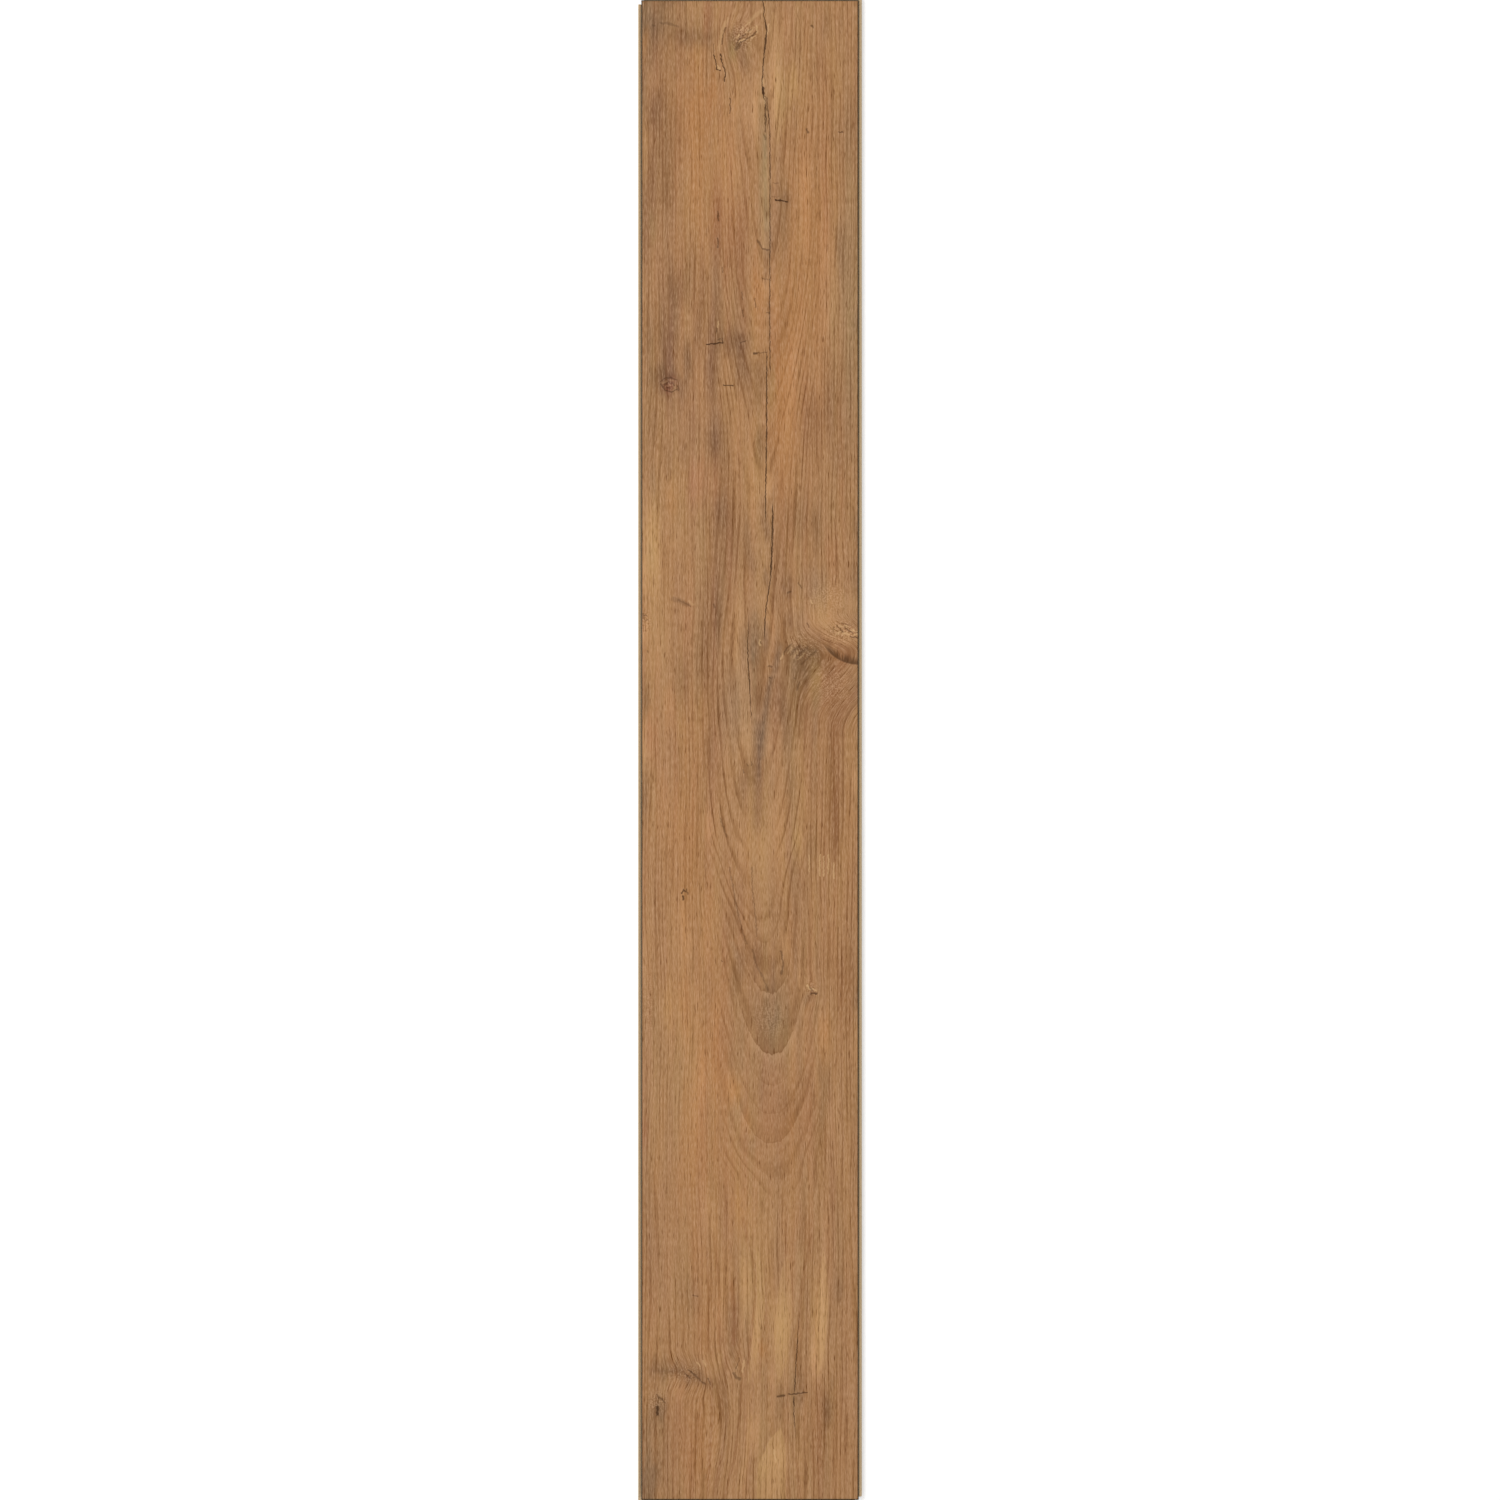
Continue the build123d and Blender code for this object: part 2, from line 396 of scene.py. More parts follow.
        (-92, 178, 4, 20, 0.3), (41, -192, 3.5, 28, 0.28), (-33, -595, 4, 28, 0.22),
    ]),
    ("pink", [(-74.5, 336, 8, 8, 1.6)]),
    ("olive", [(21, -250, 13, 34, 0.35)]),
    ("red", [(-5, -490, 4, 30, 0.4)]),
]

strokes = [  # soft streaks: (tint, strength, [(x, y, half width), ...])
    ("yellow", 0.4, [(24, 640, 4), (24, 600, 5), (25, 560, 4)]),
    ("slate", 0.55, [(29, 96, 4), (19, 62, 5.5), (15, 30, 7), (12, -6, 4)]),
    ("dark", 0.5, [(9, 24, 4), (8, 8, 4), (8, -8, 3)]),
    ("light", 0.7, [(14, 92, 3), (9, 72, 4.5), (8, 52, 3)]),
    ("yellow", 0.5, [(1, -612, 3), (-2, -645, 4.5), (-10, -680, 4)]),
    ("olive", 0.8, [(14, 565, 4), (15, 480, 4.5)]),
    ("umber", 0.5, [(-29, 506, 3), (-29.5, 486, 3.5)]),
    ("umber", 0.5, [(-28, 472, 3), (-27.5, 455, 2.5)]),
    ("umber", 0.4, [(-25, 440, 2.2), (-24.5, 425, 2.2)]),
    ("umber", 0.45, [(-9, 430, 3), (-7, 410, 3.5), (-5, 395, 3)]),
    ("umber", 0.5, [(-9, 372, 4), (-4, 355, 4), (1, 337, 3)]),
    ("mauve", 0.5, [(-73, 455, 4), (-71, 400, 5), (-73, 355, 5)]),
    ("light", 0.5, [(12, 440, 3), (13, 425, 3)]),
    ("slate", 0.5, [(19, 66, 4), (15, 45, 5), (12, 20, 4), (9, 0, 3.5), (8, -25, 3)]),
    ("slate", 0.3, [(4, 125, 5), (5, 105, 6), (2, 85, 5)]),
    ("light", 0.5, [(-8, 100, 3), (-8, 60, 4), (-4, 20, 4), (-2, 0, 3)]),
    ("light", 0.5, [(22, 130, 3), (22, 100, 3.5), (18, 85, 2.5)]),
    ("mauve", 0.5, [(30, 150, 4), (36, 142, 4)]),
    ("light", 0.7, [(68, 104, 4), (82, 100, 6), (98, 98, 6)]),
    ("slate", 0.4, [(34, 92, 4), (46, 92, 6), (60, 90, 5)]),
    ("umber", 0.5, [(78, -37, 4), (79, -65, 4.5), (78, -100, 3)]),
    ("slate", 0.3, [(-16, -178, 4), (-12, -190, 4)]),
    ("slate", 0.25, [(22, -196, 6), (20, -222, 5)]),
    ("dark", 0.6, [(-90, -572, 3), (-75, -571.5, 3), (-62, -570, 3)]),
    ("umber", 0.4, [(15, -632, 3), (12, -645, 3)]),
    ("slate", 0.35, [(44, -545, 4), (45, -580, 4)]),
    ("umber", 0.6, [(56, -448, 2), (49, -484, 2.5), (46, -504, 2.5), (44.5, -535, 2.5)]),
    ("umber", 0.9, [
        (-7, -430, 1.8), (1, -462, 2), (5, -484, 2), (5, -504, 2), (1, -539, 2), (-2, -567, 1.8),
    ]),
    ("umber", 0.7, [(-33.5, -445, 1.6), (-28.5, -490, 1.6), (-27.5, -553, 1.6)]),
    ("umber", 0.7, [(-40, -462, 1.6), (-38, -504, 1.6), (-39, -553, 1.6)]),
    ("umber", 0.7, [(65.5, -467, 1.8), (62, -497, 1.8), (60, -518, 1.8), (58.5, -539, 1.8)]),
    ("red", 0.8, [(-17, -490, 4), (-14, -520, 4.5), (-15, -546, 4)]),
    ("umber", 0.6, [(13.5, -476, 1.6), (15, -518, 1.6), (11, -546, 2), (9, -578, 2)]),
    ("umber", 0.9, [(-8, -582, 1.8), (-9, -609, 2), (-12.5, -632, 2), (-15, -655, 2), (-24, -689, 2)]),
    ("umber", 0.8, [
        (-22, -557, 1.6), (-23, -586, 1.8), (-20, -609, 1.8), (-24, -635, 1.8), (-34, -688, 1.8),
    ]),
    ("umber", 0.9, [(-36, -580, 2), (-35, -616, 2.2), (-37, -644, 2.2), (-39, -689, 2)]),
    ("umber", 0.6, [(-48, -610, 1.8), (-50, -644, 1.8), (-53, -689, 1.8)]),
    ("umber", 0.6, [(35, -628, 1.6), (39, -644, 1.8), (44, -662, 1.8), (47, -689, 1.8)]),
    ("light", 0.7, [(-6, -470, 4), (-4, -500, 5), (-7, -530, 4)]),
    ("light", 0.7, [(0, -595, 4), (-4, -630, 4.5), (-7, -660, 5), (-5, -685, 5)]),
    ("light", 0.5, [(30, -425, 3), (30, -450, 3.5)]),
    ("light", 0.6, [(53, -640, 3), (53, -680, 3)]),
    ("slate", 0.5, [(-88, -660, 5), (-90, -688, 7)]),
    ("light", 0.7, [(98, -495, 3), (98, -515, 3)]),
    ("light", 0.8, [(98, -555, 3), (98, -580, 3)]),
]

# patches of the face in the same form as the zones': where it is speckled, where the cathedral's
# rings show, and where the grain lines fade, or stand out if negative
speckles = [
    (-6, 658, 20, 20, 1.0), (-75, 336, 10, 10, 0.5), (84, 108, 26, 18, 1.0), (50, 95, 26, 24, 0.6),
    (76, 60, 30, 34, 0.6), (72, 140, 34, 28, 0.5), (-96, 118, 8, 18, 0.8), (57, -219, 10, 10, 0.8),
    (-60, -574, 26, 14, 0.6), (-86, -600, 16, 18, 0.6), (-94, -230, 10, 60, 0.4), (18, -250, 26, 30, 0.4),
]
cathedrals = [(20, -270, 62, 190, 1.0), (14, 350, 26, 150, 1.0)]
calms = [
    (84, 128, 44, 44, 1.2), (80, 60, 50, 46, 1.2), (-10, 655, 26, 34, 0.9), (-95, -230, 12, 90, 0.6),
    (17, 560, 10, 70, 0.6), (2, 590, 26, 60, 0.9), (-76, 635, 40, 70, 0.6), (-30, 560, 40, 80, 0.3),
    (-80, 80, 28, 140, 0.5), (22, -520, 18, 70, 0.5), (5, 95, 16, 50, 0.8), (14, 380, 40, 150, 0.9),
    (9, -75, 27, 130, 1.5), (18, -300, 80, 190, 1.0), (25, -580, 40, 120, 0.6), (-60, -420, 50, 160, 0.6),
    (-36, 110, 22, 130, -0.5), (-32, -30, 22, 110, -0.6, -8), (-34, -560, 34, 120, -0.2),
    (80, -620, 26, 110, -0.2), (-64, 250, 16, 460, 0.4), (-30, 500, 30, 100, 0.5), (46, 490, 18, 90, 0.6),
    (2, 140, 14, 90, 0.5), (-32, -150, 28, 150, 0.45), (-10, -455, 22, 50, 0.6), (66, -470, 16, 80, 0.45),
    (-30, -520, 44, 50, 0.3), (-64, -650, 16, 60, 0.6), (46, 310, 14, 70, -0.45),
    (44, -40, 14, 60, -0.45), (66, -105, 16, 50, -0.5), (-46, -440, 16, 50, -0.5),
]

cracks = [  # (y, x, half width) from the far end on
    [
        (690, 11.5, 0.4), (681, 13.3, 0.5), (676, 12.4, 0.35), (669, 14.3, 0.5), (661, 15.4, 0.85),
        (650, 14.2, 0.8), (642, 13.3, 0.65), (631, 12.2, 0.55), (621, 11.6, 0.45), (613, 11.1, 0.4),
        (605, 11.9, 0.7), (597, 13.6, 0.4), (588, 14.4, 0.35), (578, 15, 0.3), (568, 14.4, 0),
    ],
    [
        (598, 15.8, 0), (583, 17.2, 0.35), (570, 18.4, 0.4), (500, 18.4, 0.3), (400, 18.2, 0.4),
        (352, 18.4, 0.3), (345, 18.4, 0),
    ],
    [
        (372, 15.5, 0), (362, 15.5, 0.35), (290, 15.3, 0.6), (240, 14.4, 0.45), (218, 14.3, 0.35),
        (205, 14.3, 0),
    ],
    [
        (228, 20.9, 0), (222, 20.9, 0.45), (198, 20.6, 0.6), (175, 19.9, 0.65), (158, 18.9, 0.5),
        (147, 17.1, 0.4), (134, 15.3, 0.4), (121, 13.9, 0.45), (108, 13.3, 0.35), (98, 13.4, 0),
    ],
    [
        (133, -0.8, 0), (113, -1.6, 0.3), (96, -2.2, 0.4), (76, -1.6, 0.4), (55, -0.2, 0.4),
        (34, 0.9, 0.3), (18, 2.3, 0),
    ],
    [
        (-505, 46.2, 0), (-525, 44.9, 0.2), (-541, 43.9, 0.35), (-569, 42.1, 0.45), (-589, 41.1, 0.4),
        (-593, 40.6, 0),
    ],
    [(-593, 40.6, 0), (-596, 40.4, 0.5), (-613, 40.4, 0.4), (-640, 43, 0)],
]

scars = [  # dark marks: (strength, half width, [(x, y), ...])
    # far end knot
    (0.9, 0.6, [(-33.2, 639.3), (-31.5, 633.6), (-30.4, 625.9), (-27.3, 625.2)]),
    (0.4, 0.5, [(-33.6, 650), (-33.2, 639.3)]),
    (0.9, 0.6, [(-27.3, 640.7), (-25.9, 633.6), (-23.7, 626.6), (-22.5, 621.7), (-23.6, 615.3)]),
    (0.5, 0.6, [(-22.3, 664.6), (-24.7, 658.3), (-25.9, 649.1)]),
    (0.6, 0.6, [(-11.8, 646.3), (-9.7, 650.5), (-6.8, 652.2), (-1.9, 654.8), (2.3, 657.3), (5.8, 661.1)]),
    (0.5, 1.6, [(-12.6, 645), (-9.5, 648.5)]),
    (0.6, 0.8, [(-11, 652.5), (-8, 655)]),
    (0.5, 0.8, [(-12.5, 648), (-11.5, 651)]),
    (0.5, 0.6, [(-7, 656.5), (-4, 658.5)]),
    (0.4, 0.6, [(-2, 661), (1, 663.5)]),
    (0.4, 0.6, [(3, 658), (5, 659.5)]),
    (0.35, 1.2, [(-82.2, 668.9), (-73.8, 668.2), (-66.7, 665.8)]),
    (0.4, 1.1, [(-89.5, 667), (-88, 666.5)]),
    (0.7, 0.45, [(-18.1, 599.8), (-18.5, 585.7)]),
    (0.6, 0.8, [(56.6, 666.5), (58.2, 664.8)]),
    (0.6, 0.8, [(52, 571), (53.4, 568)]),
    (0.7, 0.7, [(81.9, 568.5), (85.4, 568.8)]),
    # beside the long crack
    (0.9, 1.1, [(11.9, 609.7), (12.5, 604)]),
    (0.7, 0.45, [(14.4, 601.2), (15, 588.6)]),
    (0.6, 0.4, [(15.7, 599.8), (17.1, 582.9)]),
    (0.6, 0.5, [(13.6, 585.7), (14.2, 568.8)]),
    (0.4, 0.5, [(13.3, 566), (14.2, 561.8)]),
    (1.0, 0.75, [(23.5, 506), (29.1, 505.7), (34, 504.3)]),
    (0.35, 0.45, [(20.9, 521.6), (26.3, 521.6)]),
    (0.3, 0.4, [(19.9, 509), (27, 509.2)]),
    (0.6, 0.8, [(-29.4, 495.6), (-29.1, 487.1)]),
    (0.6, 0.7, [(-29.4, 470.8), (-29.8, 462.3)]),
    (0.5, 0.6, [(-25.2, 444), (-24.9, 439.8)]),
    (0.5, 0.8, [(7.2, 468.7), (11.1, 461.2), (17.1, 459.8)]),
    (0.4, 0.5, [(10.8, 434.1), (17.1, 432.7)]),
    (0.5, 0.6, [(4.4, 415.8), (5.4, 407.4)]),
    (0.5, 0.6, [(15.7, 402.4), (17.8, 401.7)]),
    (0.5, 0.6, [(-7.5, 421.5), (-6.8, 414.4)]),
    (0.5, 0.6, [(-6.8, 404.6), (-5.9, 398.9)]),
    (0.95, 0.75, [(-40, 373.3), (-31.5, 373.8), (-25.3, 375)]),
    (0.7, 0.55, [(-25.2, 374.7), (-25.4, 379.2)]),
    (0.6, 0.45, [(-30.8, 383.4), (-31.1, 389)]),
    (0.5, 0.6, [(-29, 377.1), (-27.3, 378.5)]),
    (0.6, 0.6, [(-8.7, 374.3), (-6.1, 375.7), (-3.7, 376.7)]),
    (0.75, 0.8, [(3.7, 365.1), (6.5, 364.8)]),
    (0.55, 0.45, [(7.2, 365.4), (15.7, 365.9)]),
    (0.85, 0.6, [(-24.4, 335.6), (-15.7, 335.1)]),
    # small round knot
    (0.6, 0.7, [(-82.2, 336.9), (-78, 331.3), (-72.4, 329.2), (-67.4, 332)]),
    (0.5, 0.6, [(-82.9, 338.3), (-78.7, 341.9), (-72.4, 342.6), (-67.4, 340.4)]),
    (0.55, 0.6, [(-78.7, 336.2), (-75.2, 338.3), (-70.9, 337.6), (-69.5, 334.8)]),
    (0.5, 0.6, [(-76.6, 333.4), (-73, 332.7)]),
    (0.5, 0.6, [(-66.7, 334.8), (-66, 330.6)]),
    # left edge and the grain across from the edge knot
    (0.26, 2.2, [(-70.5, 139), (-64, 136.8), (-57.5, 133.8)]),
    (0.48, 0.9, [(-66, 138), (-60, 135.3), (-55, 132.4)]),
    (0.4, 0.8, [(-33.6, 133.9), (-32.2, 131.1)]),
    (0.5, 0.55, [(-97.7, 124), (-94.9, 123.4)]),
    (0.5, 0.55, [(-96.3, 118.4), (-94.2, 120.6)]),
    (0.5, 0.55, [(-98.4, 125.5), (-97.5, 119.8)]),
    (0.4, 0.7, [(-94.5, 91.5), (-93.5, 90)]),
    (0.5, 0.6, [(9.8, 99.5), (10.3, 97.5)]),
    # edge knot
    (0.55, 0.55, [(79.8, 114.2), (83.3, 111.4), (85.5, 108.6)]),
    (0.4, 0.5, [(77, 112.8), (76.3, 108.6)]),
    (0.6, 0.55, [(86.9, 112.8), (91.1, 110), (94.6, 107.2)]),
    (0.7, 0.6, [(92.5, 104.4), (98.8, 103.2)]),
    (0.5, 0.55, [(96.7, 108.6), (98.8, 107.9)]),
    (0.4, 0.5, [(84.7, 117), (92.5, 114.9)]),
    (0.5, 0.8, [(34.7, 144.5), (37.5, 145.9)]),
    (0.4, 0.6, [(44.6, 153.7), (47.4, 149.4)]),
    (0.5, 0.55, [(53, 117), (53.7, 112.8)]),
    (0.45, 0.7, [(30.5, 87.4), (33.3, 93.1), (38.2, 97.3)]),
    (0.35, 0.9, [(37.5, 87.4), (41.1, 92.4), (46, 95.9)]),
    (0.35, 0.9, [(42.5, 84.6), (47.4, 90.3), (53, 94.5)]),
    (0.35, 0.8, [(47.4, 79), (54.4, 86), (61.5, 91.7)]),
    (0.5, 0.8, [(17.1, 77.6), (19.9, 76.2)]),
    (0.5, 0.8, [(18, 66.8), (19, 65.5)]),
    (0.4, 0.8, [(40.6, 66.8), (41.6, 65.6)]),
    (0.4, 0.8, [(45.3, 62.1), (43.2, 55)]),
    # middle
    (0.5, 0.6, [(-6.8, -18.2), (-5.4, -21)]),
    (0.5, 0.6, [(-2.6, -12.6), (-1.9, -14.7)]),
    (0.5, 0.5, [(0.9, -11.2), (1.6, -14)]),
    (0.8, 0.7, [(-63.2, -131.8), (-61.1, -128.3), (-59, -130.4)]),
    (0.8, 0.8, [(-61.8, -134.6), (-61.1, -137.4)]),
    (0.6, 0.6, [(-58.3, -128.3), (-57, -133)]),
    (0.35, 0.6, [(1.6, -107.8), (2.3, -129), (4, -144.5), (5.4, -157.1), (6.3, -171.2)]),
    (0.4, 0.8, [(-27.3, -62.7), (-21.6, -79.7)]),
    (0.35, 0.7, [(-18.8, -107.8), (-13.2, -140.2), (-7.5, -164.2), (-3.3, -178.3)]),
    (0.35, 0.9, [(2.3, -183.9), (6.5, -199.4), (12.2, -209.3), (16.4, -220.6)]),
    (0.5, 0.8, [(28.4, -185), (30.5, -195.9), (29, -206)]),
    (0.5, 0.7, [(-26.2, -194), (-25.6, -195)]),
    (0.8, 0.7, [(55.9, -224.1), (61.5, -224.1)]),
    (0.5, 0.5, [(54.5, -218), (57.5, -222)]),
    # near end
    (0.75, 0.7, [(35.4, -592.7), (44, -592), (52.3, -591)]),
    (0.7, 1.0, [(24.9, -594.8), (28, -594.5), (31.9, -593.6)]),
    (0.5, 1.4, [(-14.6, -573.6), (-13.2, -577.2), (-9, -578.6)]),
    (0.5, 0.5, [(-13.2, -569.4), (-9.7, -559.5)]),
    (0.55, 0.7, [(-59.7, -573.6), (-55.4, -577.9)]),
    (0.5, 0.8, [(-52.6, -573.6), (-47, -578.6), (-41.4, -583.5)]),
    (0.6, 0.6, [(-56.9, -570.1), (-51.2, -575)]),
    (0.5, 0.6, [(-38.5, -578), (-36.5, -584)]),
    (0.9, 1.2, [(-85, -604.6), (-85, -611.7)]),
    (0.6, 0.6, [(-83.6, -594.8), (-78, -600.4)]),
    (0.5, 0.6, [(-86, -593), (-83.5, -597)]),
    (0.5, 0.6, [(-53, -501.5), (-48, -502.8)]),
]

glints = [  # pale marks, set out like the dark ones
    (0.25, 1.2, [(-20.2, 673.1), (-25.2, 663.2), (-27.3, 653.4), (-28.7, 643.5)]),
    (0.22, 1.8, [(-1.9, 668.9), (3.7, 674.5), (9.4, 679.4)]),
    (0.3, 1.2, [(-3.3, 659.8), (-1, 662)]),
    (0.3, 1.0, [(0.5, 661), (3.5, 664.5)]),
    (0.5, 0.9, [(5.8, 666), (6.8, 659.7)]),
    (0.5, 0.8, [(-9.5, 652), (-5.5, 654)]),
    (0.45, 0.7, [(-12.5, 655), (-10, 658)]),
    (0.45, 0.7, [(-3.5, 667), (-0.5, 669.5)]),
    (0.4, 0.7, [(-8.5, 663), (-6, 665)]),
    (0.4, 0.7, [(2, 655), (4.5, 657)]),
    (0.5, 0.9, [(-29.2, 629.5), (-28.4, 626.5)]),
    (0.4, 0.7, [(17.1, 667.5), (16.4, 659)]),
    (0.6, 0.7, [(11.9, 616.7), (11.6, 613.2)]),
    (0.5, 0.5, [(12.9, 602.6), (13.9, 594.2)]),
    (0.4, 0.6, [(-29.4, 389), (-29, 394.7)]),
    (0.15, 0.7, [(-80.1, 337.6), (-76.6, 339.7)]),
    (0.15, 0.7, [(-73.5, 340.4), (-70.9, 340)]),
    (0.15, 0.7, [(-76, 334.8), (-73.5, 335.2)]),
    (0.22, 1.1, [(-56, 137), (-52.5, 133.5)]),
    (0.4, 0.8, [(8.8, 101), (9.2, 96)]),
    (0.4, 0.8, [(82.6, 114.2), (85, 113.2)]),
    (0.4, 0.8, [(87, 114.6), (89.7, 113.5)]),
    (0.4, 0.9, [(79.8, 107.2), (83, 108.6)]),
    (0.45, 0.9, [(85.5, 107), (88.5, 107.8), (91, 106)]),
    (0.5, 0.9, [(93.2, 110), (96, 110.4)]),
    (0.5, 0.9, [(97, 108.8), (99.3, 109.3)]),
    (0.5, 0.8, [(96, 105.8), (99.5, 106.5)]),
    (0.5, 0.7, [(55.9, 137.5), (57.3, 134.6)]),
    (0.25, 0.6, [(34.7, 88.9), (39, 93.8)]),
    (0.25, 0.6, [(39.7, 84.6), (44.6, 91)]),
    (0.25, 0.6, [(44.6, 83.2), (50.2, 88.9)]),
    (0.4, 0.7, [(28.4, 83.2), (30.5, 88.9)]),
    (0.4, 0.6, [(54.5, -96.6), (54.5, -112)]),
    (0.5, 0.6, [(64.3, -96.6), (64.3, -116)]),
    (0.5, 0.6, [(67.8, -98), (67.8, -116)]),
    (0.5, 0.6, [(72.1, -96.6), (72.1, -114)]),
    (0.4, 0.6, [(77, -104), (77, -118)]),
    (0.5, 0.8, [(52.3, -216.3), (55.9, -220.6)]),
    (0.5, 0.7, [(57, -219), (61, -221.5)]),
    (0.4, 0.7, [(-49, -563), (-46, -567)]),
    (0.4, 0.7, [(-43, -562), (-41, -567)]),
    (0.4, 0.9, [(-5.5, -562), (-7, -572)]),
    (0.4, 0.8, [(22, -644), (24, -655)]),
]

flames = [  # pale tongues of early wood with crisp edges: (strength, [(y, left, right), ...])
    (0.4, [
        (-623, 28.3, 28.5), (-630, 22, 30.5), (-637, 16.4, 32), (-645, 13.6, 33), (-657, 8, 33.2),
        (-668, 6.5, 33), (-690, 5.6, 33.3),
    ]),
    (0.2, [
        (545, 13, 16), (525, 11.5, 17.6), (506, 9.8, 18.2), (480, 10, 18.2), (466, 11, 18), (460, 14, 16),
    ]),
    (0.25, [(-455, 5, 6), (-480, 5.5, 12), (-506, 5.5, 14), (-540, 2, 9), (-565, -1, 5), (-585, -3, -2)]),
    (0.25, [(-465, 33, 35), (-490, 27, 38), (-515, 24, 39), (-550, 22.5, 36), (-580, 26, 27)]),
    (0.3, [(-460, 67, 68), (-485, 64, 71.5), (-506, 63, 72), (-540, 61, 70), (-580, 60, 61)]),
    (0.15, [(680, 20, 22), (650, 18, 27), (620, 17.5, 28), (590, 19, 28.5), (555, 19.5, 27), (515, 22, 23)]),
]
flameEdge = (-0.4, 1.0)  # a flame sets in between these distances inside its outline
flameTip = 2

crescent = {  # the lower rim of the edge knot, a dark shade with a crisp outer edge
    "x": 99.9,
    "y": 116.5,
    "radius": 37.5,
    "shade": (0.78, 0.99),  # shares of the radius over which it darkens
    "rim": (1.03, 0.995),  # and where it stops
    "low": (-16, -27),  # it sets in this far from the middle, towards the near end
    "hatch": 0.07,
    "dark": 0.75,
}

mark = {
    "inner": 0.4,  # share of its half width to which a mark is full
    "outer": 1.5,  # and at which it is gone
    "shake": 0.5,
    "margin": 4,  # how far a mark shows past its points
}


def lineTree():
    # one straight piece of a mark, as strong as given in its middle
    tree = bpy.data.node_groups.new("markLine", "ShaderNodeTree")
    for name in ("Place", "Start", "Heading"):
        treeSocket(tree, name, "Vector")
    for name in ("Run", "Half width", "Strength"):
        treeSocket(tree, name, "Float")
    treeSocket(tree, "Share", "Float", output=True)
    given = newNode(tree, "NodeGroupInput").outputs
    off = vectorCalc(tree, "SUBTRACT", given["Place"], given["Start"])
    way = measure(tree, "DOT_PRODUCT", off, given["Heading"])
    way = calc(tree, "MINIMUM", calc(tree, "MAXIMUM", way, 0.0), given["Run"])
    away = measure(tree, "DISTANCE", off, scaled(tree, given["Heading"], way))
    outer = calc(tree, "MULTIPLY", given["Half width"], mark["outer"])
    inner = calc(tree, "MULTIPLY", given["Half width"], mark["inner"])
    newNode(tree, "NodeGroupOutput", {0: ramp(tree, away, outer, inner, 0.0, given["Strength"])})
    return tree


markLine = lineTree()


def markShare(tree, place, marks, near, far):
    # the lines through the points of each mark that lies within the stretch of plank
    result = 0.0
    for strength, half, points in marks:
        ys = [y for x, y in points]
        if max(ys) < near - mark["margin"] or min(ys) > far + mark["margin"]:
            continue
        for (x0, y0), (x1, y1) in zip(points, points[1:]):
            run = math.hypot(x1 - x0, y1 - y0)
            sockets = {
                "Place": place,
                "Start": (x0, y0, 0),
                "Heading": ((x1 - x0) / run, (y1 - y0) / run, 0),
                "Run": run,
                "Half width": half,
                "Strength": strength,
            }
            share = newNode(tree, "ShaderNodeGroup", sockets, node_tree=markLine).outputs[0]
            result = calc(tree, "MAXIMUM", result, share)
    return result


def flameShare(tree, x, along, near, far):
    result = 0.0
    for strength, rows in flames:
        start, end = rows[0][0], rows[-1][0]
        if start < near or end > far:
            continue
        left = curveOf(tree, [(y, left) for y, left, right in rows], along)
        right = curveOf(tree, [(y, right) for y, left, right in rows], along)
        inside = calc(tree, "MINIMUM", calc(tree, "SUBTRACT", x, left), calc(tree, "SUBTRACT", right, x))
        share = ramp(tree, inside, *flameEdge, 0.0, strength)
        share = calc(tree, "MULTIPLY", share, ramp(tree, along, start, start - flameTip))
        share = calc(tree, "MULTIPLY", share, ramp(tree, along, end, end + flameTip))
        result = calc(tree, "MAXIMUM", result, share)
    return result


def crescentShare(tree, x, along):
    offX = calc(tree, "SUBTRACT", x, crescent["x"])
    offY = calc(tree, "SUBTRACT", along, crescent["y"])
    away = calc(tree, "DIVIDE", hypot(tree, offX, offY), crescent["radius"])
    hatch = calc(tree, "MULTIPLY_ADD", noise(tree, x, along, clouds["hatch"]), crescent["hatch"], away)
    shade = ramp(tree, hatch, *crescent["shade"])
    shade = calc(tree, "MULTIPLY", shade, ramp(tree, away, *crescent["rim"]))
    low = ramp(tree, offY, *crescent["low"], 0.0, crescent["dark"])
    return calc(tree, "MULTIPLY", shade, low)


def mixColour(tree, share, under, over):
    sockets = {0: share, 6: under, 7: over}
    node = newNode(tree, "ShaderNodeMix", sockets, data_type="RGBA", clamp_factor=True)
    return node.outputs[2]


def eyeShare(tree, place, x, y, halfWidth, halfLength):
    # an oval mask, 1 in the middle and 0 at its rim
    scale = (1 / halfWidth, 1 / halfLength, 0)
    shifted = vectorCalc(tree, "MULTIPLY_ADD", place, scale, (-x / halfWidth, -y / halfLength, 0))
    return ramp(tree, measure(tree, "LENGTH", shifted), 1.0, 0.0)


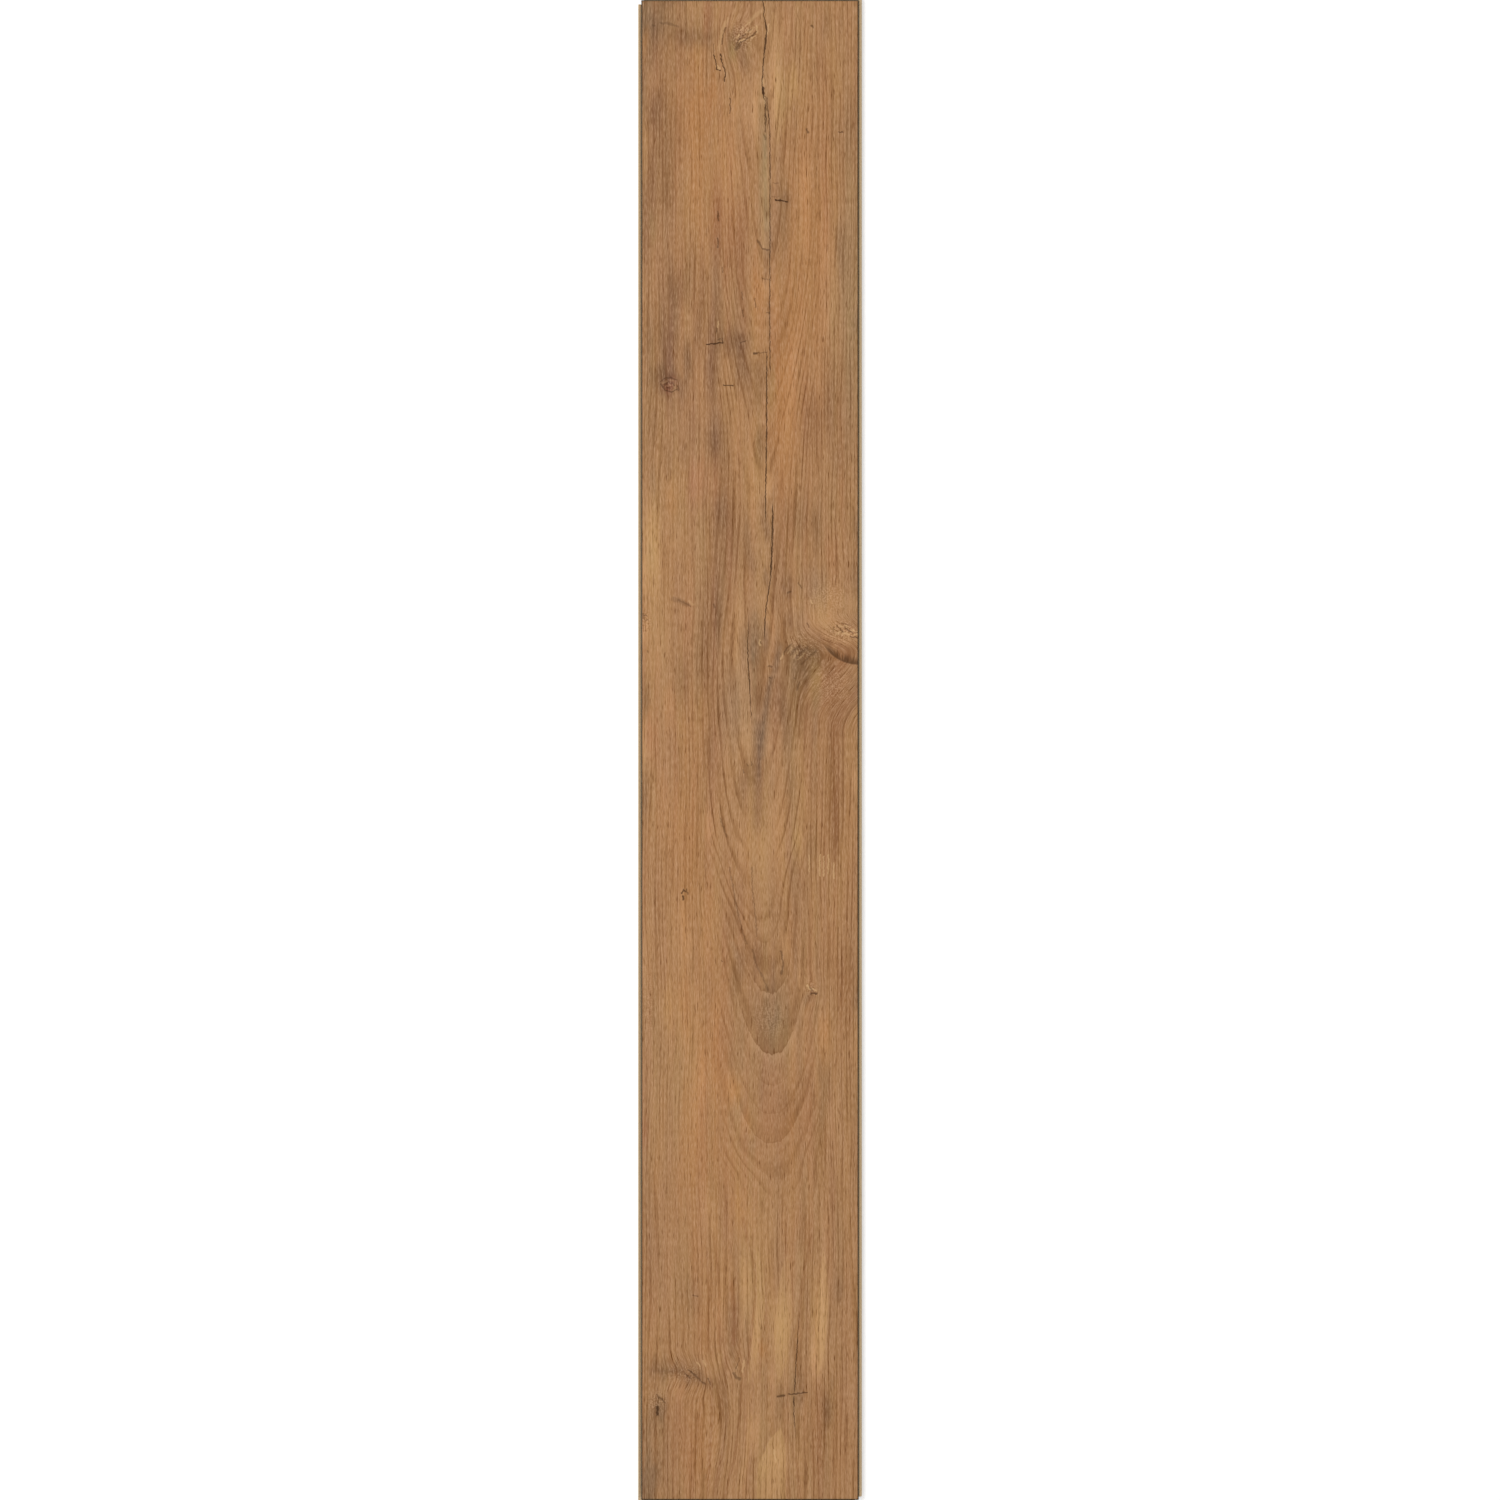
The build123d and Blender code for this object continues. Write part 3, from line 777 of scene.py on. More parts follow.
def grainFlow(tree, place):
    # where a point lies across the grain, along it and among the growth rings
    x, y = parts(tree, place)[0:2]
    across = calc(tree, "MULTIPLY_ADD", noise(tree, x, y, clouds["wobble"]), figure["wobble"], x)
    for pullX, pullY, halfWidth, farReach, nearReach, pull in figure["pulls"]:
        shareX = calc(tree, "MULTIPLY_ADD", x, 1 / halfWidth, -pullX / halfWidth)
        far = calc(tree, "MULTIPLY_ADD", y, 1 / farReach, -pullY / farReach)
        near = calc(tree, "MULTIPLY_ADD", y, -1 / nearReach, pullY / nearReach)
        away = hypot(tree, shareX, calc(tree, "MAXIMUM", far, near))
        across = calc(tree, "MULTIPLY_ADD", ramp(tree, away, 1.0, 0.0), -pull, across)
    side = calc(tree, "SUBTRACT", across, curveOf(tree, figure["centre"], y))
    depth = curveOf(tree, figure["depth"], y)
    blunt = curveOf(tree, figure["bluntness"], y)
    ring = calc(tree, "ADD", depth, calc(tree, "SUBTRACT", hypot(tree, blunt, side), blunt))
    for eyeX, eyeY, halfWidth, halfLength, rings in figure["eyes"]:
        mask = eyeShare(tree, place, eyeX, eyeY, halfWidth, halfLength)
        ring = calc(tree, "MULTIPLY_ADD", mask, rings, ring)
    return {"x": x, "along": y, "across": across, "ring": ring, "side": side}


def soft(share):
    share = np.clip(share, 0, 1)
    return share * share * (3 - 2 * share)


def patchShare(x, y, patch, spread=1.0):
    # the patch's strength in its middle, and 0 at its rim
    patchX, patchY, halfWidth, halfLength, strength, *turn = patch
    angle = math.radians(turn[0] if turn else 0)
    cos, sin = math.cos(angle), math.sin(angle)
    offX, offY = x - patchX, y - patchY
    shareX = (offX * cos + offY * sin) / (halfWidth * spread)
    shareY = (offY * cos - offX * sin) / (halfLength * spread)
    return strength * soft(1 - np.hypot(shareX, shareY))


def strokeShare(x, y, points):
    # 1 along the line through the points and 0 at its half width
    reach = np.full(len(x), np.inf)
    for (x0, y0, half0), (x1, y1, half1) in zip(points, points[1:]):
        runX, runY = x1 - x0, y1 - y0
        share = np.clip(((x - x0) * runX + (y - y0) * runY) / (runX ** 2 + runY ** 2), 0, 1)
        away = np.hypot(x - x0 - share * runX, y - y0 - share * runY)
        reach = np.minimum(reach, away / (half0 + share * (half1 - half0)))
    return soft(1 - reach)


def keep(mesh, name, values):
    layer = mesh.attributes.new(name, "FLOAT_VECTOR", "POINT")
    layer.data.foreach_set("vector", np.asarray(values, np.float32).ravel())


patchwork = {
    "strength": 1.4,
    "spread": 1.4,  # a patch fades out at this many times its half width and length
    "seed": 1,  # without one the noise would change from run to run
    "frays": [(6, 50, 3, 1.0), (3, 22, 8, 0.5)],  # (size across, size along, layer of noise, share)
    "patchFray": (2.0, 9.0),
    "strokeFray": 0.4,
}


def paintFace(mesh):
    # broad patches of colour under the grain, in screen levels, and where the grain is speckled or calm
    count = len(mesh.vertices)
    spots = np.empty(count * 3)
    mesh.vertices.foreach_get("co", spots)
    x, y = spots[0::3] / mm, spots[1::3] / mm
    mathutils.noise.seed_set(patchwork["seed"])
    fray = np.zeros((count, 3))
    for acrossSize, alongSize, layer, share in patchwork["frays"]:
        places = zip(x / acrossSize, y / alongSize)
        fray += share * np.array([mathutils.noise.noise_vector((a, b, layer)) for a, b in places])
    frayX, frayY = patchwork["patchFray"]
    zoneX, zoneY = x + fray[:, 0] * frayX, y + fray[:, 1] * frayY
    levels = np.tile(np.array(plainWood, float), (count, 1))
    for tint, patches in zones:
        for patch in patches:
            share = patchShare(zoneX, zoneY, patch, patchwork["spread"])
            levels += np.outer(share, np.array(tints[tint]) * patchwork["strength"])
    strokeX = x + fray[:, 0] * patchwork["strokeFray"]
    for tint, strength, points in strokes:
        levels += np.outer(strokeShare(strokeX, y, points), np.array(tints[tint]) * strength)
    masks = np.zeros((count, 3))
    for column, patches in enumerate((speckles, cathedrals, calms)):
        for patch in patches:
            masks[:, column] += patchShare(x, y, patch)
    keep(mesh, "levels", levels)
    keep(mesh, "masks", np.clip(masks, -1, 1))


bands = [  # (noise, screen levels added)
    ((9, 260, 4, 2, 0.6), (4.0, 4.0, 2.5)),
    ((14, 200, 17, 2, 0.6), (2.5, 0.5, -2.0)),
    ((11, 160, 18, 2, 0.6), (1.5, -1.0, 0.5)),
]


def bandTint(tree, flow):
    # bands of colour that run with the grain, over the painted patches
    painted = newNode(tree, "GeometryNodeInputNamedAttribute", {"Name": "levels"}, data_type="FLOAT_VECTOR")
    levels = painted.outputs[0]
    for cloud, shift in bands:
        band = noise(tree, flow["across"], flow["along"], cloud)
        levels = vectorCalc(tree, "MULTIPLY_ADD", shift, band, levels)
    return scaled(tree, levels, 1 / 255)


yearLine = {
    # (spacing, noise that makes the years uneven, noise that breaks the lines)
    "rings": (2.9, (11, 260, 5, 2, 0.5), (2.2, 60, 6, 2, 0.5)),
    "sides": (3.9, (11, 260, 22, 2, 0.5), (2.2, 60, 23, 2, 0.5)),
    "nearEnd": (5.3, (11, 260, 31, 2, 0.5), (2.2, 60, 32, 2, 0.5)),
    "jitter": 0.6,
    "rise": (0.45, 0.85),  # shares of the year over which a line darkens
    "fall": (1.0, 0.9),
    "gap": (-0.8, 0.8),
    "faintest": 0.15,
    "sidesFrom": (35, 55),  # distance from the middle line over which straight lines take over
    "leftToRight": (-20, 20),
    "leftShare": 0.75,  # straight lines are weaker on the left
    "nearEndFrom": (-375, -430),
}


def lineSet(tree, radius, along, kind):
    # a dark line at the end of each year's growth, broken along its length
    spacing, unevenness, gaps = yearLine[kind]
    jitter = calc(tree, "MULTIPLY", noise(tree, radius, along, unevenness), yearLine["jitter"])
    year = calc(tree, "FRACT", calc(tree, "MULTIPLY_ADD", radius, 1 / spacing, jitter))
    line = calc(tree, "MULTIPLY", ramp(tree, year, *yearLine["rise"]), ramp(tree, year, *yearLine["fall"]))
    broken = ramp(tree, noise(tree, radius, along, gaps), *yearLine["gap"], yearLine["faintest"], 1.0)
    return calc(tree, "MULTIPLY", line, broken)


def yearLines(tree, flow):
    # rings round the pith, straight lines along both sides and wider ones at the near end
    rings = lineSet(tree, flow["ring"], flow["along"], "rings")
    straight = lineSet(tree, flow["across"], flow["along"], "sides")
    right = ramp(tree, flow["side"], *yearLine["leftToRight"], yearLine["leftShare"], 1.0)
    straight = calc(tree, "MULTIPLY", straight, right)
    wide = lineSet(tree, flow["across"], flow["along"], "nearEnd")
    sides = ramp(tree, calc(tree, "ABSOLUTE", flow["side"]), *yearLine["sidesFrom"])
    nearEnd = ramp(tree, flow["along"], *yearLine["nearEndFrom"])
    lines = newNode(tree, "ShaderNodeMix", {0: sides, 2: rings, 3: straight}).outputs[0]
    return newNode(tree, "ShaderNodeMix", {0: nearEnd, 2: lines, 3: wide}).outputs[0]


cleft = {
    "jag": 0.4,  # how far a crack strays from its line
    "ragged": 0.5,  # how much its width varies
    "narrowest": 0.02,
    "rim": (1.5, 0.5),  # shares of its half width between which it sets in
    "hairline": 0.3,  # half width under which it fades
    "dark": 0.9,
}


def crackShare(tree, x, along, near, far):
    # drying cracks, 1 in the cleft and 0 beside it
    shifted = calc(tree, "MULTIPLY_ADD", noise(tree, x, along, clouds["crackJag"]), cleft["jag"], x)
    ragged = calc(tree, "MULTIPLY_ADD", noise(tree, x, along, clouds["crackWidth"]), cleft["ragged"], 1.0)
    result = 0.0
    for crack in cracks:
        if crack[0][0] < near or crack[-1][0] > far:
            continue
        middle = curveOf(tree, [(y, x) for y, x, half in crack], along, "VECTOR")
        half = curveOf(tree, [(y, half) for y, x, half in crack], along, "VECTOR")
        away = calc(tree, "ABSOLUTE", calc(tree, "SUBTRACT", shifted, middle))
        width = calc(tree, "MAXIMUM", calc(tree, "MULTIPLY", half, ragged), cleft["narrowest"])
        share = ramp(tree, calc(tree, "DIVIDE", away, width), *cleft["rim"])
        share = calc(tree, "MULTIPLY", share, ramp(tree, half, 0.0, cleft["hairline"]))
        result = calc(tree, "ADD", result, share)
    return result


plank = {
    "columns": [(9, 1.1), (23, 0.4), (99, 1.1)],  # (up to this x, column width)
    "rowStep": 3.1,
    "stretches": 8,
    "grainDepth": 0.05,
    "crackDepth": 0.3,
    "lineShare": 0.6,  # of the grain's depth, with streaks as the rest
    "streakFrom": (0.8, -0.8),
    "levelRim": (0.2, 2.5),  # distances from the bevel over which the press sets in
    "bevelReach": 1.0,  # the bevel's middle is no further below the face than this
    "bevelSlope": 0.3,
    "sharpAngle": 30,
}
hair = 0.01 * mm  # what counts as level with a face


def store(tree, geometry, name, value):
    settings = {"data_type": "FLOAT_VECTOR", "domain": "POINT"}
    node = newNode(tree, "GeometryNodeStoreNamedAttribute", {"Geometry": geometry, "Name": name}, **settings)
    tree.links.new(value, next(socket for socket in node.inputs if socket.name == "Value" and socket.enabled))
    return node.outputs[0]


def pressTree():
    # lays the figure out over the face and presses the grain into it, in register with the print
    tree = bpy.data.node_groups.new("oakPress", "GeometryNodeTree")
    treeSocket(tree, "Geometry", "Geometry")
    sizes = ("Grain depth", "Crack depth", "Half width", "Half length")
    sockets = {name: treeSocket(tree, name, "Float") for name in sizes}
    sockets["Bevel paint"] = treeSocket(tree, "Bevel paint", "Material")
    treeSocket(tree, "Geometry", "Geometry", output=True)
    given = newNode(tree, "NodeGroupInput").outputs
    position = newNode(tree, "GeometryNodeInputPosition").outputs[0]
    flow = grainFlow(tree, scaled(tree, position, 1 / mm))
    geometry = store(tree, given["Geometry"], "tint", bandTint(tree, flow))
    geometry = store(tree, geometry, "flow", joined(tree, flow["across"], flow["ring"], flow["side"]))

    # nothing rises above the face, and the rim stays level
    onFace = calc(tree, "GREATER_THAN", parts(tree, position)[2], cadHigh.z - hair)
    rimX = calc(tree, "SUBTRACT", given["Half width"], calc(tree, "ABSOLUTE", flow["x"]))
    rimY = calc(tree, "SUBTRACT", given["Half length"], calc(tree, "ABSOLUTE", flow["along"]))
    inside = ramp(tree, calc(tree, "MINIMUM", rimX, rimY), *plank["levelRim"])
    streaks = noise(tree, flow["across"], flow["along"], clouds["pressedStreaks"])
    streaks = ramp(tree, streaks, *plank["streakFrom"], 0.0, 1 - plank["lineShare"])
    lines = calc(tree, "MULTIPLY_ADD", yearLines(tree, flow), plank["lineShare"], streaks)
    depth = calc(tree, "MULTIPLY", lines, given["Grain depth"])
    cracked = crackShare(tree, flow["x"], flow["along"], cadLow.y / mm, cadHigh.y / mm)
    depth = calc(tree, "MULTIPLY_ADD", calc(tree, "MINIMUM", cracked, 1.0), given["Crack depth"], depth)
    depth = calc(tree, "MULTIPLY", calc(tree, "MULTIPLY", depth, inside), onFace)
    offset = joined(tree, 0.0, 0.0, calc(tree, "MULTIPLY", depth, -mm))
    pressed = newNode(tree, "GeometryNodeSetPosition", {"Geometry": geometry, "Offset": offset}).outputs[0]
    solid = newNode(tree, "GeometryNodeRealizeInstances", {0: pressed}).outputs[0]

    # the bevel's paint comes right after the prints
    index = newNode(tree, "GeometryNodeInputMaterialIndex").outputs[0]
    isBevel = calc(tree, "COMPARE", index, plank["stretches"], 0.1)
    dressing = {"Geometry": solid, "Selection": isBevel, "Material": given["Bevel paint"]}
    dressed = newNode(tree, "GeometryNodeSetMaterial", dressing).outputs[0]
    newNode(tree, "NodeGroupOutput", {0: dressed})
    return tree, sockets


grain = {
    "lineDark": 0.525,
    "lineMean": 0.095,
    "streakDark": 0.16,
    "calmStreaks": 0.4,  # share of the streaks that is left where the grain is calm
    "fineDark": 0.19,
    "poreDark": 0.74,
    "poreFrom": (-0.65, -1.15),
    "fleckLight": 0.15,
    "fleckFrom": (0.6, 1.1),
    "mottle": 0.7,
    "gamma": 2.2,
    # growth rings of the cathedral that end in a dark step and start again pale
    "steps": [  # (radius, reach, dark, pale, line)
        (41.3, 2.0, 0.10, 0.05, 0.1), (62.0, 1.6, 0.10, 0.05, 0.1), (81.0, 1.6, 0.18, 0.08, 0.28),
        (84.2, 1.4, 0.08, 0.03, 0.1), (87.2, 2.5, 0.25, 0.10, 0.15), (93.0, 3.4, 0.27, 0.12, 0.15),
        (96.5, 1.6, 0.06, 0.04, 0.08), (100.2, 1.8, 0.06, 0.05, 0.1), (104.0, 3.2, 0.28, 0.14, 0.16),
        (108.9, 2.4, 0.2, 0.10, 0.1),
    ],
    "stepFray": 0.16,
    "stepEdge": 0.08,
    "stepLine": 0.3,
    "paleShare": 0.5,  # how far the pale side reaches, as a share of the dark one
}


def ringSteps(tree, ring):
    edge = grain["stepEdge"]
    shades = []
    for radius, reach, dark, pale, line in grain["steps"]:
        inner = calc(tree, "MULTIPLY", ramp(tree, ring, radius - reach, radius), -dark)
        inner = calc(tree, "ADD", inner, ramp(tree, ring, radius - grain["stepLine"], radius, 0.0, -line))
        before = ramp(tree, ring, radius + edge, radius, shape="LINEAR")
        outer = ramp(tree, ring, radius + reach * grain["paleShare"], radius, 0.0, pale)
        after = ramp(tree, ring, radius, radius + edge, shape="LINEAR")
        shades += [calc(tree, "MULTIPLY", inner, before), calc(tree, "MULTIPLY", outer, after)]
    return total(tree, shades)


def stored(tree, name, output="Vector"):
    return newNode(tree, "ShaderNodeAttribute", attribute_name=name).outputs[output]


def grainTree():
    # the grain of the whole face: its colour, how dark or pale the lines make it, and where marks are drawn
    tree = bpy.data.node_groups.new("oakGrain", "ShaderNodeTree")
    treeSocket(tree, "Colour", "Color", output=True)
    for name in ("Tone", "X", "Along"):
        treeSocket(tree, name, "Float", output=True)
    treeSocket(tree, "Place", "Vector", output=True)
    place = scaled(tree, newNode(tree, "ShaderNodeTexCoord").outputs["Object"], 1 / mm)
    x, along = parts(tree, place)[0:2]
    across, ring, side = parts(tree, stored(tree, "flow"))
    speckle, cathedral, calm = parts(tree, stored(tree, "masks"))
    sockets = {0: stored(tree, "tint", "Color"), 1: grain["gamma"]}
    colour = newNode(tree, "ShaderNodeGamma", sockets).outputs[0]

    # growth rings
    flow = {"along": along, "across": across, "ring": ring, "side": side}
    lines = calc(tree, "MULTIPLY", yearLines(tree, flow), calc(tree, "SUBTRACT", 1.0, calm))
    fray = noise(tree, across, along, clouds["ringFray"])
    steps = ringSteps(tree, calc(tree, "MULTIPLY_ADD", fray, grain["stepFray"], ring))

    # fibres, pores and pale flecks
    streaks = noise(tree, across, along, clouds["streaks"])
    calmed = ramp(tree, calm, 0, 1, 1.0, grain["calmStreaks"], "LINEAR")
    pores = ramp(tree, noise(tree, across, along, clouds["pores"]), *grain["poreFrom"])
    flecks = ramp(tree, noise(tree, across, along, clouds["flecks"]), *grain["fleckFrom"])
    mottle = calc(tree, "MULTIPLY", noise(tree, x, along, clouds["mottle"]), speckle)
    tone = total(tree, [
        calc(tree, "MULTIPLY_ADD", lines, -grain["lineDark"], grain["lineMean"]),
        calc(tree, "MULTIPLY", steps, cathedral),
        calc(tree, "MULTIPLY", calc(tree, "MULTIPLY", streaks, calmed), grain["streakDark"]),
        calc(tree, "MULTIPLY", noise(tree, across, along, clouds["fine"]), grain["fineDark"]),
        calc(tree, "MULTIPLY", pores, -grain["poreDark"]),
        calc(tree, "MULTIPLY", flecks, grain["fleckLight"]),
        calc(tree, "MULTIPLY", mottle, grain["mottle"]),
    ])

    # marks are drawn with an unsteady hand
    markX = calc(tree, "MULTIPLY_ADD", noise(tree, x, along, clouds["markX"]), mark["shake"], x)
    markY = calc(tree, "MULTIPLY_ADD", noise(tree, x, along, clouds["markY"]), mark["shake"], along)
    markPlace = joined(tree, markX, markY)
    newNode(tree, "NodeGroupOutput", {0: colour, 1: tone, 2: x, 3: along, 4: markPlace})
    return tree


inks = {
    "flame": paint(206, 162, 108),
    "darkGrain": paint(98, 52, 2),
    "paleGrain": paint(222, 178, 140),
    "glint": paint(222, 182, 132),
    "mark": paint(74, 46, 22),
}
wearLayer = {"roughness": 0.5, "toneRoughness": -0.1, "specular": 0.1}


def newMaterial(name):
    material = bpy.data.materials.new(name)
    material.use_nodes = True
    return material, material.node_tree, material.node_tree.nodes["Principled BSDF"]


def oakDecor(name, near, far, oakGrain):
    # the print on one stretch of the plank, which only works out the marks that lie there
    material, tree, shader = newMaterial(name)
    given = newNode(tree, "ShaderNodeGroup", node_tree=oakGrain).outputs
    tone, x, along, place = (given[output] for output in ("Tone", "X", "Along", "Place"))
    colour = mixColour(tree, flameShare(tree, x, along, near, far), given["Colour"], inks["flame"])
    colour = mixColour(tree, calc(tree, "MULTIPLY", tone, -1.0), colour, inks["darkGrain"])
    colour = mixColour(tree, tone, colour, inks["paleGrain"])
    colour = mixColour(tree, markShare(tree, place, glints, near, far), colour, inks["glint"])

    # scars, cracks and the knot's rim
    dark = calc(tree, "MAXIMUM", markShare(tree, place, scars, near, far), 0.0)
    dark = calc(tree, "MULTIPLY_ADD", crackShare(tree, x, along, near, far), cleft["dark"], dark)
    if near < crescent["y"] and far > crescent["y"] - crescent["radius"]:
        dark = calc(tree, "ADD", dark, crescentShare(tree, x, along))
    colour = mixColour(tree, dark, colour, inks["mark"])

    tree.links.new(colour, shader.inputs["Base Color"])
    roughness = calc(tree, "MULTIPLY_ADD", tone, wearLayer["toneRoughness"], wearLayer["roughness"])
    tree.links.new(roughness, shader.inputs["Roughness"])
    shader.inputs["Specular IOR Level"].default_value = wearLayer["specular"]
    return material


finishes = {  # (shade, other shade, how much of it shows, size of the mottle, roughness)
    "bevelPaint": (paint(30, 22, 14), paint(22, 15, 9), 0.5, 1.2, 0.6),
    "fibreboard": (paint(206, 182, 146), paint(188, 160, 122), 0.8, 0.6, 0.8),
    "backingPaper": (paint(206, 190, 164), paint(190, 172, 144), 0.5, 2.5, 0.7),
}
mottleFrom = (0.35, 0.65)
plainSpecular = 0.25


def plainMaterial(name):
    # a fine two-colour mottle
    shade, other, otherShare, mottleSize, roughness = finishes[name]
    material, tree, shader = newMaterial(name)
    place = newNode(tree, "ShaderNodeTexCoord").outputs["Object"]
    sockets = {"Vector": place, "Scale": 1 / (mottleSize * mm), "Detail": 3.0, "Roughness": 0.6}
    mottle = newNode(tree, "ShaderNodeTexNoise", sockets).outputs[0]
    share = ramp(tree, mottle, *mottleFrom, 0, otherShare)
    tree.links.new(mixColour(tree, share, shade, other), shader.inputs["Base Color"])
    shader.inputs["Roughness"].default_value = roughness
    shader.inputs["Specular IOR Level"].default_value = plainSpecular
    return material


def splitEdge(bm, edge, stops, axis):
    # adds a corner to the edge at each stop along the axis
    near, far = sorted(edge.verts, key=lambda vert: vert.co[axis])
    for stop in stops:
        edge = bm.edges.get((near, far))
        share = (stop - near.co[axis]) / (far.co[axis] - near.co[axis])
        near = bmesh.utils.edge_split(edge, near, share)[1]


def spaced(low, high, step):
    count = max(1, round((high - low) / step))
    return [low + (high - low) * i / count for i in range(count)]


def finishOf(face):
    middle = face.calc_center_median()
    if middle.z > cadHigh.z - plank["bevelReach"] * mm and face.normal.z > plank["bevelSlope"]:
        return "bevelPaint"
    if middle.z < cadLow.z + hair and face.normal.z < 0:
        return "backingPaper"
    return "fibreboard"


def gridKey(x, y):
    return round(x / mm, 3), round(y / mm, 3)


def plankMesh():
    bm = bmesh.new()
    bm.from_mesh(plankNode.data)
    bmesh.ops.remove_doubles(bm, verts=bm.verts, dist=0.1 * hair)
    bmesh.ops.dissolve_limit(bm, angle_limit=math.radians(0.5), verts=bm.verts, edges=bm.edges)
    level = [f for f in bm.faces if f.calc_center_median().z > cadHigh.z - hair]
    face = max(level, key=lambda f: f.calc_area())
    halfX = max(vert.co.x for vert in face.verts)
    halfY = max(vert.co.y for vert in face.verts)

    # a fine grid takes the place of the one flat face
    xs, start = [], -halfX
    for end, step in plank["columns"]:
        end = min(end * mm, halfX)
        xs += spaced(start, end, step * mm)
        start = end
    xs.append(halfX)
    ys = spaced(-halfY, halfY, plank["rowStep"] * mm) + [halfY]
    for edge in list(face.edges):
        alongX = abs(edge.verts[0].co.x - edge.verts[1].co.x) > halfX
        splitEdge(bm, edge, xs[1:-1] if alongX else ys[1:-1], 0 if alongX else 1)
    rim = {gridKey(vert.co.x, vert.co.y): vert for vert in face.verts}
    bm.faces.remove(face)
    grid = [[rim.get(gridKey(x, y)) or bm.verts.new((x, y, cadHigh.z)) for x in xs] for y in ys]
    printed = set()
    for near, far in zip(grid, grid[1:]):
        for i in range(len(xs) - 1):
            quad = bm.faces.new((near[i], near[i + 1], far[i + 1], far[i]))
            quad.smooth = True
            printed.add(quad)
    bmesh.ops.recalc_face_normals(bm, faces=bm.faces)
    for f in bm.faces:
        if f in printed:
            f.material_index = int((f.calc_center_median().y / halfY + 1) / 2 * plank["stretches"])
        else:
            f.material_index = plank["stretches"] + list(finishes).index(finishOf(f))
    mesh = bpy.data.meshes.new("oak_plank")
    bm.to_mesh(mesh)
    bm.free()
    return mesh, halfX / mm, halfY / mm


def makePlank():
    mesh, halfX, halfY = plankMesh()
    paintFace(mesh)
    count = plank["stretches"]
    oakGrain = grainTree()
    for i in range(count):
        near, far = (halfY * (2 * end / count - 1) for end in (i, i + 1))
        mesh.materials.append(oakDecor("oakDecor" + str(i + 1), near, far, oakGrain))
    for name in finishes:
        mesh.materials.append(plainMaterial(name))
    blank = bpy.data.objects.new("blank", mesh)
    bpy.context.scene.collection.objects.link(blank)
    tree, sockets = pressTree()
    press = blank.modifiers.new("press", "NODES")
    press.node_group = tree
    press[sockets["Grain depth"]] = plank["grainDepth"]
    press[sockets["Crack depth"]] = plank["crackDepth"]
    press[sockets["Half width"]] = halfX
    press[sockets["Half length"]] = halfY
    press[sockets["Bevel paint"]] = mesh.materials["bevelPaint"]
    depsgraph = bpy.context.evaluated_depsgraph_get()
    made = bpy.data.meshes.new_from_object(
        blank.evaluated_get(depsgraph), preserve_all_data_layers=True, depsgraph=depsgraph)
    made.name = "oak_plank"
    bpy.data.objects.remove(blank)
    bpy.data.meshes.remove(mesh)
    made.set_sharp_from_angle(angle=math.radians(plank["sharpAngle"]))
    piece = bpy.data.objects.new("oak_plank", made)
    bpy.context.scene.collection.objects.link(piece)
    return piece


oakPlank = makePlank()
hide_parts("plank")
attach(oakPlank, "root")
print("plank dressed:", len(oakPlank.data.polygons), "faces", [m.name for m in oakPlank.data.materials])


# Floor, light and camera

studio = {
    "faceLength": 1380 * mm,  # fills the picture from end to end
    "lens": 120.0,
    "sensor": 36.0,
    "clipEnd": 100.0,
    "worldStrength": 0.6,
    "keyPower": 46.0,
    "keySize": (1.6, 3.0),
    "keyPlace": (-1.6, 0.6, 2.4),
    "keyTilt": (-12, -33, 0),
    "floorHalf": 12.0,
    "floorLevel": -0.2 * mm,
    "floorShade": (0.85, 0.85, 0.85, 1.0),
    "floorGlow": 0.35,
    "underReach": 1.5 * mm,  # light passes through the floor when it comes from no further than this
}


